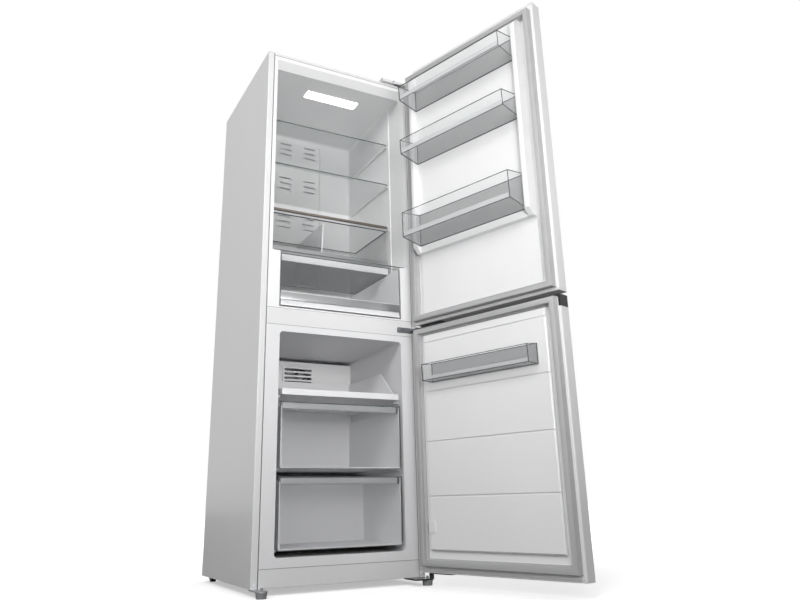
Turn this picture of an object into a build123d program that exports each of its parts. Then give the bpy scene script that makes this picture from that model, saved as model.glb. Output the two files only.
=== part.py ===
from build123d import *
import math
import os

# Bottom freezer refrigerator, millimetres, +Z up. The plan origin is the middle of the
# cabinet's footprint on the floor and the doors face -Y. Shapes are drawn with the
# cabinet's front plane at y = 0 and moved into that frame when they are written.

# ---- cabinet ----------------------------------------------------------------------------
WIDTH = 595.0  # outside width of cabinet and doors
DEPTH = 578.0  # cabinet depth behind its front plane
TOP = 1861.0  # top of the cabinet above the floor
BASE = 21.0  # lower edge of the side panels above the floor
SHEET = 1.0  # painted sheet steel
SHEET_BEND = 3.0  # bend radius of the sheet
SIDE_FLANGE = 22.5  # front return of a side panel
HEM = 9.0  # depth of the hem behind that return
REAR_RETURN = 14.0  # rear return of a side panel
LID = 8.0  # height of the top cover
TRIM_DROP = 3.0  # how far the top cover's front trim hangs below it
FACE = 2.0  # thickness of the moulded front faces
CORE_FRONT = 10.0  # foam starts this far behind the front plane
KICK_HEIGHT = 53.0
KICK_RETURN = 10.0  # depth of the kickplate's folded edge
MULLION_BOTTOM = 827.0
MULLION_HEIGHT = 56.0
MULLION_RETURN = 7.0  # depth of the mullion cover's folded edges

HALF = WIDTH / 2
FLANGE_X = HALF - SIDE_FLANGE
KICK_TOP = BASE + KICK_HEIGHT
MULLION_TOP = MULLION_BOTTOM + MULLION_HEIGHT

# ---- liners -----------------------------------------------------------------------------
LINER = 2.0  # moulded liner wall
SIDE_WALL = 42.5  # fridge wall beside the shelves
WALL_STEP = 3.0  # the room widens by this ahead of the shelves, and again at its mouth
ROOF = 51.0  # fridge wall above the room
MOUTH_ROOF = 27.0  # the same at the mouth
REAR_WALL = 78.0
MOUTH = 25.0  # depth of the splayed mouth of the fridge space
STEP_BACK = 112.0  # where the wall steps in for the shelves
SILL = 6.0  # niche floor above the mullion cover
NICHE_HEIGHT = 197.0
NICHE_STEP = 23.0  # niche wall in from the wall above it
NICHE_WALL = 138.0  # behind the niche
LINER_ROUND = 12.0  # inside corner radius of the liners
RIB_REACH = 9.0  # shelf rib, out from the wall
RIB_HEIGHT = 5.0
RIB_SETBACK = 8.0  # rib starts this far behind the step
FREEZER_WALL = 70.5
FREEZER_HEAD = 23.0  # freezer room below the mullion cover
FREEZER_SILL = 30.0  # freezer floor above the kickplate
FREEZER_REAR = 73.0
LOW_REAR = 278.0  # behind the low part of the room
LOW_HEIGHT = 236.0  # height of that low part
RAIL_REACH = 16.0  # drawer rail, out from the wall
RAIL_HEIGHT = 8.0
RAIL_SETBACK = 30.0

SHELF_HALF = HALF - SIDE_WALL
FRONT_HALF = SHELF_HALF + WALL_STEP
MOUTH_HALF = FRONT_HALF + WALL_STEP
MOUTH_TOP = TOP - MOUTH_ROOF
CEILING = TOP - ROOF
FRIDGE_BACK = DEPTH - REAR_WALL
NICHE_HALF = SHELF_HALF - NICHE_STEP
NICHE_FLOOR = MULLION_TOP + SILL
NICHE_BACK = DEPTH - NICHE_WALL
LEDGE = NICHE_FLOOR + NICHE_HEIGHT
FREEZER_HALF = HALF - FREEZER_WALL
FREEZER_TOP = MULLION_BOTTOM - FREEZER_HEAD
FREEZER_FLOOR = KICK_TOP + FREEZER_SILL
FREEZER_BACK = DEPTH - FREEZER_REAR
LOW_BACK = DEPTH - LOW_REAR
LOW_STEP = FREEZER_FLOOR + LOW_HEIGHT

# ---- machine space ----------------------------------------------------------------------
PAN_HEIGHT = 59.0  # middle of the bottom sheet
BULKHEAD_WALL = 47.0  # the sheet's upright behind the freezer's low back wall
SLOPE_FOOT = 230.0
SLOPE_RUN = 53.0
SLOPE_WALL = 48.0  # flat top of the sheet below the freezer's step
TRAY_Z = 31.0  # middle of the compressor's carrying sheet
TRAY_SHEET = 2.0
REAR_SKIN = 1.0
COVER_SHEET = 1.5
VENT_ROWS = 3
VENT_COLUMNS = 7
VENT_LENGTH = 36.0
VENT_HEIGHT = 8.0
VENT_PITCH = (48.0, 34.0)  # across and up
COMPRESSOR_X = -110.0
COMPRESSOR_BEHIND = 118.0  # its axis ahead of the back
COMPRESSOR_RADIUS = 62.0
COMPRESSOR_HEIGHT = 155.0
COMPRESSOR_DOME = 20.0
MOUNT_LIFT = 5.0  # rubber mounts under the compressor
MOUNT = 18.0
CAN_SIDES = 36  # sides of the compressor's can and the fan's opening
PIPE_SIDES = 8
DRIP_INSET = 6.0  # drip tray inside the compressor's outline
DRIP_HEIGHT = 22.0

BULKHEAD = LOW_BACK + BULKHEAD_WALL
SLOPE_TOP = LOW_STEP - SLOPE_WALL
COMPRESSOR_Y = DEPTH - COMPRESSOR_BEHIND

# ---- shelves and bins -------------------------------------------------------------------
GLASS = 4.0
GLASS_SIDE_GAP = 3.5  # shelf to wall
GLASS_REAR_GAP = 30.0  # shelf to back wall
GLASS_ROUND = 10.0
COVER_RISE = 200.0  # crisper cover above the ledge
MIDDLE_SHARE = 0.353  # shelves, as shares of the room above the crisper cover
UPPER_SHARE = 0.691
SHELF_SETBACK = 2.0  # shelf front behind the wall's step
TRIM_HEIGHT = 9.0
TRIM_LAP = 8.0
BIN_WALL = 2.5
SLIDE_GAP = 0.4  # clearance under a sliding bin
BIN_SIDE_GAP = 16.5  # crisper to wall
BIN_REAR_GAP = 100.0
BIN_TOP_GAP = 14.0  # crisper rim under its cover
BIN_ROUND = 8.0
BAND_HEIGHT = 53.0
BAND_THICK = 4.0
DIVIDER_X = -28.0
DIVIDER_THICK = 3.0
DIVIDER_RAKE = 24.0
LID_FRONT = 3.0
LID_SIDE_GAP = 1.0
BOX_SIDE_GAP = 4.0
BOX_FRONT = 1.5
BOX_REAR_GAP = 7.5
BOX_TOP_GAP = 8.0
BOX_FLOOR_GAP = 4.0
PANEL = 3.0  # clear front panels
HANDLE_RISE = 26.0  # handle band above the niche floor
HANDLE_HEIGHT = 26.0
HANDLE_OUT = 1.0
LIP_HEIGHT = 24.0

GLASS_BACK = FRIDGE_BACK - GLASS_REAR_GAP
COVER_SHELF = LEDGE + COVER_RISE
MIDDLE_SHELF = COVER_SHELF + MIDDLE_SHARE * (CEILING - COVER_SHELF)
UPPER_SHELF = COVER_SHELF + UPPER_SHARE * (CEILING - COVER_SHELF)
BIN_BACK = FRIDGE_BACK - BIN_REAR_GAP
HANDLE_Z = NICHE_FLOOR + HANDLE_RISE

# ---- freezer drawers --------------------------------------------------------------------
DRAWER_FRONT = 1.0
PANEL_SIDE_GAP = 9.0  # clear front to liner wall
DRAWER_BODY_GAP = 13.0  # drawer body to liner wall
LOWER_LIFT = 18.0  # lower front above the freezer floor
LOWER_HEIGHT = 219.0
DRAWER_GAP = 23.0  # between the two clear fronts
UPPER_HEIGHT = 212.0
TRAY_SPACE = 21.0  # tray above the upper front
BODY_FOOT = 4.0  # body floor above the front's foot
BODY_DROP = 16.0  # body rim below the front's top
UPPER_REAR_GAP = 16.0
LOWER_REAR_GAP = 10.0
GRIP_DEPTH = 14.0
TRAY_LIP = 20.0
TRAY_HEIGHT = 113.0
TRAY_RISE_FROM = 30.0
TRAY_RISE_TO = 129.0
TRAY_GAP = 14.0  # tray side to liner wall

# ---- cold air ---------------------------------------------------------------------------
COVER_REACH = 75.0  # evaporator cover ahead of the freezer's back wall
COVER = 3.0
COVER_LIFT = 6.0  # its foot above the step
FAN_DROP = 92.0  # fan axis below the freezer's ceiling
FAN_RADIUS = 56.0
FAN_OPENING = 60.0
FAN_DEPTH = 20.0
LOUVRES = 7
LOUVRE_SLOT = 9.0
FAN_BLADES = 4
FAN_ARMS = 3
RETURN_SLOTS = 4  # on each side of the rear cover's middle
FAN_PITCH = 35.0  # degrees
SHAFT = 2.5
DUCT_HALF = 110.0
DUCT_DEPTH = 18.0
DUCT_LIFT = 34.0
DUCT_DROP = 30.0
DUCT_SLOT = (50.0, 6.0)
DUCT_SLOTS = 3  # in each row below a shelf
DUCT_SLOT_DROP = 50.0
DUCT_SLOT_PITCH = 25.0
LENS = (-98.0, 118.0, 112.0, 160.0)
LENS_DROP = 4.0
COIL_TUBE = 4.5
COIL_SIDES = 6
COIL_PITCH = 60.0
COIL_BANK = 18.0  # between the front and the rear bank
COIL_ROWS = 3
COIL_LIFT = 75.0
COIL_SIDE_GAP = 37.0
FINS = 7
FIN_THICK = 1.0

COVER_FRONT = FREEZER_BACK - COVER_REACH
COVER_FOOT = LOW_STEP + COVER_LIFT
FAN_Z = FREEZER_TOP - FAN_DROP
DUCT_FOOT = LEDGE + DUCT_LIFT
DUCT_TOP = CEILING - DUCT_DROP
COIL_FOOT = COVER_FOOT + COIL_LIFT
COIL_HALF = FREEZER_HALF - COIL_SIDE_GAP
DRAWER_PANEL_HALF = FREEZER_HALF - PANEL_SIDE_GAP
LOWER_DRAWER = (FREEZER_FLOOR + LOWER_LIFT, FREEZER_FLOOR + LOWER_LIFT + LOWER_HEIGHT)
UPPER_DRAWER = (LOWER_DRAWER[1] + DRAWER_GAP, LOWER_DRAWER[1] + DRAWER_GAP + UPPER_HEIGHT)
TRAY_FOOT = UPPER_DRAWER[1] + TRAY_SPACE
TRAY_TOP = TRAY_FOOT + TRAY_HEIGHT
UPPER_DEPTH = COVER_FRONT - UPPER_REAR_GAP
LOWER_DEPTH = LOW_BACK - LOWER_REAR_GAP

# ---- doors ------------------------------------------------------------------------------
DOOR_FRONT = 71.0  # outer face ahead of the cabinet's front plane
DOOR_BACK = 25.0  # back of the door's shell ahead of that plane
DOOR_BEND = 6.0
DOOR_RETURN = 12.0
DOOR_RISE = 24.0  # upper door above the cabinet's top
DOOR_LIFT = 19.0  # lower door above the cabinet's lower edge
DOOR_SPLIT = 28.0  # upper door's foot above the mullion cover's
DOOR_GAP = 12.0
CAP = 6.0
GRIP_STRIP = 37.0  # height of the lower door's grip strip
GRIP_END = 20.5
DOOR_FLANGE = 2.0
FLANGE_INSET = 6.5
GASKET_OUT = 8.0  # gasket edge inside the door's edge
GASKET_WIDTH = 23.5
GASKET_BASE = 6.0
GASKET_GAP = 0.6  # face of the closed gasket to the cabinet
GASKET_BULB = 13.0
UPPER_SEAL_INSET = (9.0, 28.0)  # gasket inside the upper door's foot and top
LOWER_SEAL_INSET = (20.0, 9.0)
LINING_SIDE = 47.5  # raised lining inside the door's edge
STEP_LIFT = 19.0  # lining's step above the fridge's ledge
LINING_DROP = 31.0  # high lining below the seal's top
RELIEF_BACK = 4.0  # face of the high lining behind the front plane
RELIEF_LOW = 17.0  # face of the low lining ahead of the front plane
RELIEF_SEAL_GAP = 1.0  # low lining inside the seal's inner edge
DYKE_WIDTH = 18.0
DYKE_OUT = 22.0
DYKE_ROUND = 4.0
LOW_PANEL_FACE = 10.0
LOW_PANEL_INSET = (49.0, 26.0)  # lower door's lining inside its seal's foot and top
GROOVES = (163.0, 336.0, 501.0, 671.0)  # above the lining's foot
GROOVE = 6.0
GROOVE_DEPTH = 3.5
CLIP_SIZE = (26.0, 37.0)
CLIP_RISE = 52.0

RELIEF_HALF = HALF - LINING_SIDE
UPPER_DOOR = (MULLION_BOTTOM + DOOR_SPLIT, TOP + DOOR_RISE)
LOWER_DOOR = (BASE + DOOR_LIFT, UPPER_DOOR[0] - DOOR_GAP)
UPPER_SEAL = (UPPER_DOOR[0] + UPPER_SEAL_INSET[0], UPPER_DOOR[1] - UPPER_SEAL_INSET[1])
LOWER_SEAL = (LOWER_DOOR[0] + LOWER_SEAL_INSET[0], LOWER_DOOR[1] - LOWER_SEAL_INSET[1])
RELIEF_STEP = LEDGE + STEP_LIFT
RELIEF_TOP = UPPER_SEAL[1] - LINING_DROP
LOW_PANEL_FOOT = LOWER_SEAL[0] + LOW_PANEL_INSET[0]
LOW_PANEL_TOP = LOWER_SEAL[1] - LOW_PANEL_INSET[1]

# ---- door racks -------------------------------------------------------------------------
RACK_GAP = 0.4
RACK_DEPTH = 95.0
RACK_RISE = 13.0
RACK_FLARE = 3.0
RACK_BACK = 15.0
RACK_LIFT = 25.0  # lowest rack above the lining's step
RACK_SHARES = (0.484, 0.793)  # the others, as shares of the high lining
RACK_HEIGHTS = (93.0, 57.0)  # fronts of the lowest rack and of the others
BASKET_INSET = 36.0
BASKET_DROP = 168.0
BASKET_FRONT = 56.0
BASKET_BACK = 8.0
BASKET_DEPTH = 54.0

RACK_FEET = [RELIEF_STEP + share * (RELIEF_TOP - RELIEF_STEP) for share in RACK_SHARES]
RACKS = {
    "balcony_top": (RACK_FEET[1], RACK_HEIGHTS[1]),
    "balcony_middle": (RACK_FEET[0], RACK_HEIGHTS[1]),
    "balcony_bottom": (RELIEF_STEP + RACK_LIFT, RACK_HEIGHTS[0]),
}
BASKET_HALF = RELIEF_HALF - BASKET_INSET
BASKET_FOOT = LOW_PANEL_TOP - BASKET_DROP

# ---- hinges, feet and rollers -----------------------------------------------------------
HINGE_IN = 8.0  # axis inside the door's edge
HINGE_OUT = 54.0  # axis ahead of the front plane
OPEN_ANGLE = 106.5  # how far the doors stand open at rest
PIN = 5.0
PIN_REACH = 12.5  # how far a pin goes into its bush
RUNNING = 0.06  # radial clearance of a pin in its bore
HINGE_PLATE = 3.0
PLATE_TIP = 8.0
POCKET_IN = 29.5
POCKET_DROP = 27.0
BUSH = 18.0
NOSE_LAP = (4.0, 3.0)  # middle hinge's flange past the gap between the doors
NOSE_LENGTH = 80.0
HINGE_COVER_IN = 5.5
HINGE_COVER_SIZE = (127.0, 82.0, 14.0)
HINGE_COVER_OUT = 12.0
BRACKET = 4.0
FOOT_IN = 19.5
FOOT_OUT = 46.0
FOOT_TOP_RADIUS = 14.5
FOOT_RADIUS = 17.5
FOOT_SIDES = 16
FOOT_GAP = 0.2
STEM = 4.5
ROLLER_IN = 32.5
ROLLER_BEHIND = 33.0
ROLLER = 18.0
ROLLER_WIDTH = 17.0
ROLLER_SIDES = 48
AXLE = 4.0
EAR = 2.0
EAR_GAP = 0.5

HINGE_X = HALF - HINGE_IN
FOOT_X = HALF - FOOT_IN
ROLLER_X = HALF - ROLLER_IN
ROLLER_Y = DEPTH - ROLLER_BEHIND


# ---- helpers ----------------------------------------------------------------------------
def block(x, y, z):
    """Box between the given pairs of limits."""
    return Pos((x[0] + x[1]) / 2, (y[0] + y[1]) / 2, (z[0] + z[1]) / 2) * Box(
        x[1] - x[0], y[1] - y[0], z[1] - z[0]
    )


def wide(half, y, z):
    """Box centred on x = 0."""
    return block((-half, half), y, z)


def mirrored(shape):
    """The same shape on the other side of the middle plane."""
    return mirror(shape, about=Plane.YZ)


def both(shape):
    """The shape and its mirror image."""
    return shape + mirrored(shape)


def side_prism(points, x, radius=None):
    """Prism along X with its outline given as (y, z) points, its corners rounded by the radius."""
    outline = [(x[0], y, z) for y, z in points]
    if radius:
        line = FilletPolyline(*outline, radius=radius, close=True)
    else:
        line = Polyline(*outline, close=True)
    return extrude(make_face(line), amount=x[1] - x[0], dir=(1, 0, 0))


def plan_prism(points, z):
    """Prism along Z with its outline given as (x, y) points."""
    outline = [(x, y, z[0]) for x, y in points]
    return extrude(make_face(Polyline(*outline, close=True)), amount=z[1] - z[0], dir=(0, 0, 1))


def rod(x, y, z, radius):
    """Upright cylinder between two heights."""
    return Pos(x, y, (z[0] + z[1]) / 2) * Cylinder(radius, z[1] - z[0])


def axle(x, y, z, radius):
    """Cylinder along X."""
    return Pos((x[0] + x[1]) / 2, y, z) * Rot(0, 90, 0) * Cylinder(radius, x[1] - x[0])


def bore_y(x, y, z, radius):
    """Cylinder along Y."""
    return Pos(x, (y[0] + y[1]) / 2, z) * Rot(90, 0, 0) * Cylinder(radius, y[1] - y[0])


UPRIGHT = Rot(0, 0, 0)
ACROSS = Rot(0, 90, 0)
BACKWARD = Rot(-90, 0, 0)


def bar(turn, radius, length, sides):
    """Many-sided bar from the origin along the axis that its turn gives it."""
    return turn * extrude(RegularPolygon(radius, sides), amount=length)


def top_edges(shape, axis):
    """The highest edges that run along an axis."""
    return shape.edges().filter_by(axis).group_by(Axis.Z)[-1]


def bent_sheet(points, thickness, x, radius):
    """Sheet bent along (y, z) points that runs from one x to another."""
    path = FilletPolyline(*points, radius=radius)
    section = trace(path, line_width=thickness)
    upright = Plane(origin=(x[0], 0, 0), x_dir=(0, 1, 0), z_dir=(1, 0, 0))
    return extrude(upright * section, amount=x[1] - x[0])


def tub(x, y, z, wall, radius, front=True):
    """Open-topped box with rounded corners; without a front it is open there as well."""
    outer = block(x, y, z)
    uprights = outer.edges().filter_by(Axis.Z)
    outer = fillet(uprights if front else uprights.group_by(Axis.Y)[-1], radius)
    near = y[0] + wall if front else y[0] - wall
    inner = block((x[0] + wall, x[1] - wall), (near, y[1] - wall), (z[0] + wall, z[1] + wall))
    uprights = inner.edges().filter_by(Axis.Z)
    return outer - fillet(uprights if front else uprights.group_by(Axis.Y)[-1], radius - wall)


def swung(shape, turn=-OPEN_ANGLE):
    """Swing a door's piece from closed to its resting angle about the hinge axis."""
    axis = Axis((HINGE_X, -HINGE_OUT, 0), (0, 0, 1))
    return shape.rotate(axis, -turn)


# ---- cabinet shell ----------------------------------------------------------------------
def side_panel():
    """Left side panel with its hemmed front return and its rear return."""
    mid = SHEET / 2
    path = FilletPolyline(
        (-FLANGE_X - mid, HEM),
        (-FLANGE_X - mid, mid),
        (-HALF + mid, mid),
        (-HALF + mid, DEPTH - mid),
        (-HALF + REAR_RETURN, DEPTH - mid),
        radius=SHEET_BEND,
    )
    return Pos(0, 0, BASE) * extrude(trace(path, line_width=SHEET), amount=TOP - BASE)


def top_cover():
    """Lid of the cabinet with the trim that shows at its front edge."""
    lid = wide(HALF - SHEET, (HEM, DEPTH - SHEET), (TOP - LID, TOP))
    trim = wide(FLANGE_X - SHEET, (0, HEM), (TOP - LID - TRIM_DROP, TOP))
    lid = fillet(lid.edges().filter_by(Axis.Z).group_by(Axis.Y)[-1], SHEET_BEND) + trim
    return fillet(lid.edges().filter_by(Axis.X).group_by(Axis.Y)[0].sort_by(Axis.Z)[-1], LID / 4)


def rear_panel():
    """Back sheet above the machine space, stiffened by upright swages."""
    back = DEPTH - SHEET
    panel = wide(HALF - SHEET - SHEET_BEND, (back - REAR_SKIN, back), (SLOPE_TOP - SHEET / 2, TOP - LID))
    swage = block(
        (-FLANGE_X / 2, -FLANGE_X / 2 + SIDE_FLANGE), (back, back + REAR_SKIN), (MULLION_BOTTOM, MOUTH_TOP)
    )
    return panel + both(swage)


def fridge_space(grow=0.0, ahead=0.0, rounded=True):
    """Room inside the fridge liner, grown outwards by the given wall."""
    low, top = LEDGE - grow, CEILING + grow
    near = wide(FRONT_HALF + grow, (-ahead, STEP_BACK + grow), (low, top))
    far = wide(SHELF_HALF + grow, (-ahead, FRIDGE_BACK + grow), (low, top))
    niche = wide(NICHE_HALF + grow, (-ahead, NICHE_BACK + grow), (NICHE_FLOOR - grow, LEDGE + grow))
    if rounded:
        rim = far.edges().group_by(Axis.Y)[-1]
        corners = top_edges(far, Axis.Y) + rim.filter_by(Axis.Z) + rim.filter_by(Axis.X).sort_by(Axis.Z)[-1:]
        far = fillet(corners, LINER_ROUND + grow)
        near = fillet(top_edges(near, Axis.Y), LINER_ROUND + grow)
        niche = fillet(niche.edges().group_by(Axis.Y)[-1].filter_by(Axis.Z), LINER_ROUND + grow)
    outer = Pos(0, 0, (low + MOUTH_TOP + grow) / 2) * Rot(90, 0, 0)
    inner = Pos(0, MOUTH, (low + top) / 2) * Rot(90, 0, 0)
    mouth = loft(
        [
            outer * Rectangle(2 * (MOUTH_HALF + grow), MOUTH_TOP + grow - low),
            inner * Rectangle(2 * (FRONT_HALF + grow), top - low),
        ]
    )
    space = near + far + niche + mouth
    if ahead:
        space += wide(MOUTH_HALF + grow, (-ahead, 0), (low, MOUTH_TOP + grow))
    return space


def shelf_rib(under):
    """Pair of ribs that carry a shelf whose underside is at the given height."""
    start = STEP_BACK + RIB_SETBACK
    rib = block(
        (SHELF_HALF - RIB_REACH, SHELF_HALF + LINER / 2),
        (start, GLASS_BACK - RIB_SETBACK),
        (under - RIB_HEIGHT, under),
    )
    return both(chamfer(rib.edges().filter_by(Axis.X).sort_by(Axis.Z)[:1], RIB_HEIGHT / 2))


def fridge_liner():
    """White inner shell of the fridge with its ledge, niche, shelf ribs and front face."""
    shell = fridge_space(LINER, rounded=False) & wide(HALF, (0, DEPTH), (BASE, TOP))
    shell += wide(FLANGE_X - SHEET, (0, FACE), (MULLION_TOP, TOP - LID - TRIM_DROP))
    shell -= fridge_space(0.0, LINER)
    for under in (UPPER_SHELF, MIDDLE_SHELF, COVER_SHELF):
        shell += shelf_rib(under)
    return shell


def freezer_space(grow=0.0, ahead=0.0, rounded=True):
    """Room inside the freezer liner, grown outwards by the given wall."""
    half = FREEZER_HALF + grow
    upper = wide(half, (-ahead, FREEZER_BACK + grow), (LOW_STEP - grow, FREEZER_TOP + grow))
    lower = wide(half, (-ahead, LOW_BACK + grow), (FREEZER_FLOOR - grow, LOW_STEP + grow))
    if not rounded:
        return upper + lower
    upper = fillet(top_edges(upper, Axis.Y), LINER_ROUND + grow)
    floor = lower.edges().filter_by(Axis.Y).group_by(Axis.Z)[0]
    return upper + fillet(floor, LINER_ROUND + grow)


def drawer_rail(top, end):
    """Pair of rails in the freezer walls with their tops at the given height."""
    rail = block(
        (FREEZER_HALF - RAIL_REACH, FREEZER_HALF + LINER / 2), (RAIL_SETBACK, end), (top - RAIL_HEIGHT, top)
    )
    return both(chamfer(rail.edges().filter_by(Axis.X).sort_by(Axis.Z)[:1], RAIL_HEIGHT / 2))


def freezer_liner():
    """White inner shell of the freezer with its drawer rails and front face."""
    shell = freezer_space(LINER, rounded=False) & wide(HALF, (0, DEPTH), (BASE, TOP))
    shell += wide(FLANGE_X - SHEET, (0, FACE), (KICK_TOP, MULLION_BOTTOM))
    shell -= freezer_space(0.0, LINER)
    shell += drawer_rail(TRAY_FOOT - SLIDE_GAP, COVER_FRONT)
    shell += drawer_rail(UPPER_DRAWER[0] + BODY_FOOT - SLIDE_GAP, COVER_FRONT)
    return shell + drawer_rail(LOWER_DRAWER[0] + BODY_FOOT - SLIDE_GAP, LOW_BACK)


def base_path():
    """Centre line of the bottom sheet as (y, z) points."""
    return [
        (CORE_FRONT + SHEET, PAN_HEIGHT),
        (BULKHEAD, PAN_HEIGHT),
        (BULKHEAD, SLOPE_FOOT),
        (BULKHEAD + SLOPE_RUN, SLOPE_TOP),
        (DEPTH - SHEET - REAR_SKIN, SLOPE_TOP),
    ]


def cabinet_foam():
    """Rigid foam between the liners and the outer panels."""
    core = wide(HALF - SHEET, (CORE_FRONT, DEPTH - SHEET - REAR_SKIN), (PAN_HEIGHT, TOP - LID))
    below = [(-DEPTH, PAN_HEIGHT), *base_path()[1:-1], (2 * DEPTH, SLOPE_TOP), (2 * DEPTH, 0), (-DEPTH, 0)]
    core -= side_prism(below, (-HALF, HALF), SHEET_BEND)
    core -= bent_sheet(base_path(), SHEET, (-HALF, HALF), SHEET_BEND) + both(side_panel())
    return core - fridge_space(LINER, rounded=False) - freezer_space(LINER, rounded=False)


def mullion_cover():
    """Strip across the front between the two compartments."""
    half = FLANGE_X - SHEET
    strip = wide(half, (0, FACE), (MULLION_BOTTOM, MULLION_TOP))
    for low in (MULLION_BOTTOM, MULLION_TOP - FACE):
        strip += wide(half, (FACE, MULLION_RETURN), (low, low + FACE))
    return strip


def kickplate():
    """Plinth strip below the freezer."""
    half = FLANGE_X - SHEET
    plate = wide(half, (0, FACE), (BASE, KICK_TOP))
    plate += wide(half, (FACE, KICK_RETURN), (KICK_TOP - FACE, KICK_TOP))
    plate += wide(half, (FACE, KICK_RETURN), (BASE, BASE + FACE))
    return fillet(plate.edges().filter_by(Axis.X).group_by(Axis.Y)[0].sort_by(Axis.Z)[:1], FACE / 2)


def foot_hole():
    """Hole for a foot's stem."""
    return rod(FOOT_X, -FOOT_OUT, (0, TOP), STEM + RUNNING)


def base_plate():
    """Bottom sheet that closes the foam, with the left foot's arm."""
    sheet = bent_sheet(base_path(), SHEET, (-HALF + SHEET, HALF - SHEET), SHEET_BEND)
    reach = FOOT_OUT + FOOT_RADIUS
    strip = (-HALF + SHEET, -FOOT_X + FOOT_RADIUS)
    arm = block(strip, (-reach, CORE_FRONT + 2 * BRACKET), (BASE - BRACKET, BASE))
    arm = fillet(arm.edges().filter_by(Axis.Z).group_by(Axis.Y)[0], FOOT_RADIUS - SHEET)
    post = block(
        strip, (CORE_FRONT + BRACKET, CORE_FRONT + 2 * BRACKET), (BASE, PAN_HEIGHT - SHEET / 2)
    )
    return sheet + ((arm + post) - mirrored(foot_hole()))


def bottom_hinge():
    """Right arm below the cabinet with the lower door's pin and the right foot's hole."""
    reach = FOOT_OUT + FOOT_RADIUS
    strip = (FOOT_X - 3 * FOOT_RADIUS, HALF - SHEET)
    arm = block(strip, (-reach, CORE_FRONT + 2 * BRACKET), (BASE - BRACKET, BASE))
    arm = chamfer(arm.edges().filter_by(Axis.Z).group_by(Axis.Y)[0], PLATE_TIP)
    arm += block(
        strip, (CORE_FRONT + BRACKET, CORE_FRONT + 2 * BRACKET), (BASE, PAN_HEIGHT - SHEET / 2)
    )
    arm -= foot_hole()
    boss = RegularPolygon(PLATE_TIP, FOOT_SIDES // 2)
    arm += Pos(HINGE_X, -HINGE_OUT, BASE) * extrude(boss, amount=LOWER_DOOR[0] - FOOT_GAP - BASE)
    return arm + rod(HINGE_X, -HINGE_OUT, (BASE, LOWER_DOOR[0] + PIN_REACH), PIN)


def foot():
    """Right levelling foot: tapered many-sided knob and its stem."""
    top = BASE - BRACKET - FOOT_GAP
    waist = top / 3
    rise = top - waist
    taper = math.degrees(math.atan((FOOT_RADIUS - FOOT_TOP_RADIUS) / rise))
    outline = RegularPolygon(FOOT_RADIUS, FOOT_SIDES)
    knob = extrude(outline, amount=waist) + Pos(0, 0, waist) * extrude(outline, amount=rise, taper=taper)
    return Pos(FOOT_X, -FOOT_OUT, 0) * (knob + rod(0, 0, (top, BASE + 2 * BRACKET), STEM))


# ---- machine space ----------------------------------------------------------------------
def tray_end():
    """Where the compressor's sheet meets the rear cover."""
    return DEPTH - SHEET - COVER_SHEET


def compressor_tray():
    """Sheet that carries the compressor, with the rollers' ears and axle pins."""
    half = HALF - SHEET
    low, high = TRAY_Z - TRAY_SHEET / 2, TRAY_Z + TRAY_SHEET / 2
    front = BULKHEAD + SHEET / 2
    sheet = wide(half, (front, tray_end()), (low, high))
    sheet += wide(half, (front, front + TRAY_SHEET), (high, PAN_HEIGHT + SLOPE_RUN))
    slot = block(
        (ROLLER_X - ROLLER_WIDTH / 2 - EAR_GAP, ROLLER_X + ROLLER_WIDTH / 2 + EAR_GAP),
        (ROLLER_Y - ROLLER - EAR, ROLLER_Y + ROLLER + EAR),
        (low, high),
    )
    sheet -= both(slot)
    inner = ROLLER_WIDTH / 2 + EAR_GAP
    for start in (ROLLER_X - inner - EAR, ROLLER_X + inner):
        ear = block(
            (start, start + EAR), (ROLLER_Y - 3 * AXLE, ROLLER_Y + 3 * AXLE), (ROLLER - 2 * AXLE, low)
        )
        sheet += both(ear)
    pin = axle((ROLLER_X - inner - EAR, ROLLER_X + inner + EAR), ROLLER_Y, ROLLER, AXLE)
    return sheet + both(pin)


def roller():
    """Right rear roller."""
    half = ROLLER_WIDTH / 2
    wheel = Pos(ROLLER_X - half, ROLLER_Y, ROLLER) * bar(ACROSS, ROLLER, ROLLER_WIDTH, ROLLER_SIDES)
    bore = axle((ROLLER_X - half, ROLLER_X + half), ROLLER_Y, ROLLER, AXLE + RUNNING)
    return wheel - bore


def compressor():
    """Welded can on its feet and rubber mounts, with terminal cover and stub pipes."""
    floor = TRAY_Z + TRAY_SHEET / 2
    low = floor + MOUNT_LIFT + BRACKET
    high, wall, dome = low + COMPRESSOR_HEIGHT, COMPRESSOR_RADIUS, COMPRESSOR_DOME
    seam = low + 2 * dome
    body = Pos(0, 0, low) * bar(UPRIGHT, wall, high - low, CAN_SIDES)
    body = chamfer(body.faces().sort_by(Axis.Z)[-1].edges(), dome / 2)
    body += wide(wall + 2 * dome, (-wall, wall), (floor + MOUNT_LIFT, low))
    for x in (-wall - dome, wall + dome):
        for y in (dome - wall, wall - dome):
            body += Pos(x, y, 0) * wide(MOUNT / 2, (-MOUNT / 2, MOUNT / 2), (floor, floor + MOUNT_LIFT))
    body += wide(dome, (wall - dome / 2, wall + dome), (seam + dome, seam + 3 * dome))
    out, stub = wall + 2 * STEM, seam + 2 * dome
    for y in (-dome, dome):
        body += Pos(out, y, stub - STEM) * bar(UPRIGHT, STEM, SLOPE_FOOT - stub + STEM, PIPE_SIDES)
        body += Pos(wall / 2, y, stub) * bar(ACROSS, STEM, out - wall / 2, PIPE_SIDES)
    return Pos(COMPRESSOR_X, COMPRESSOR_Y, 0) * body


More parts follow.
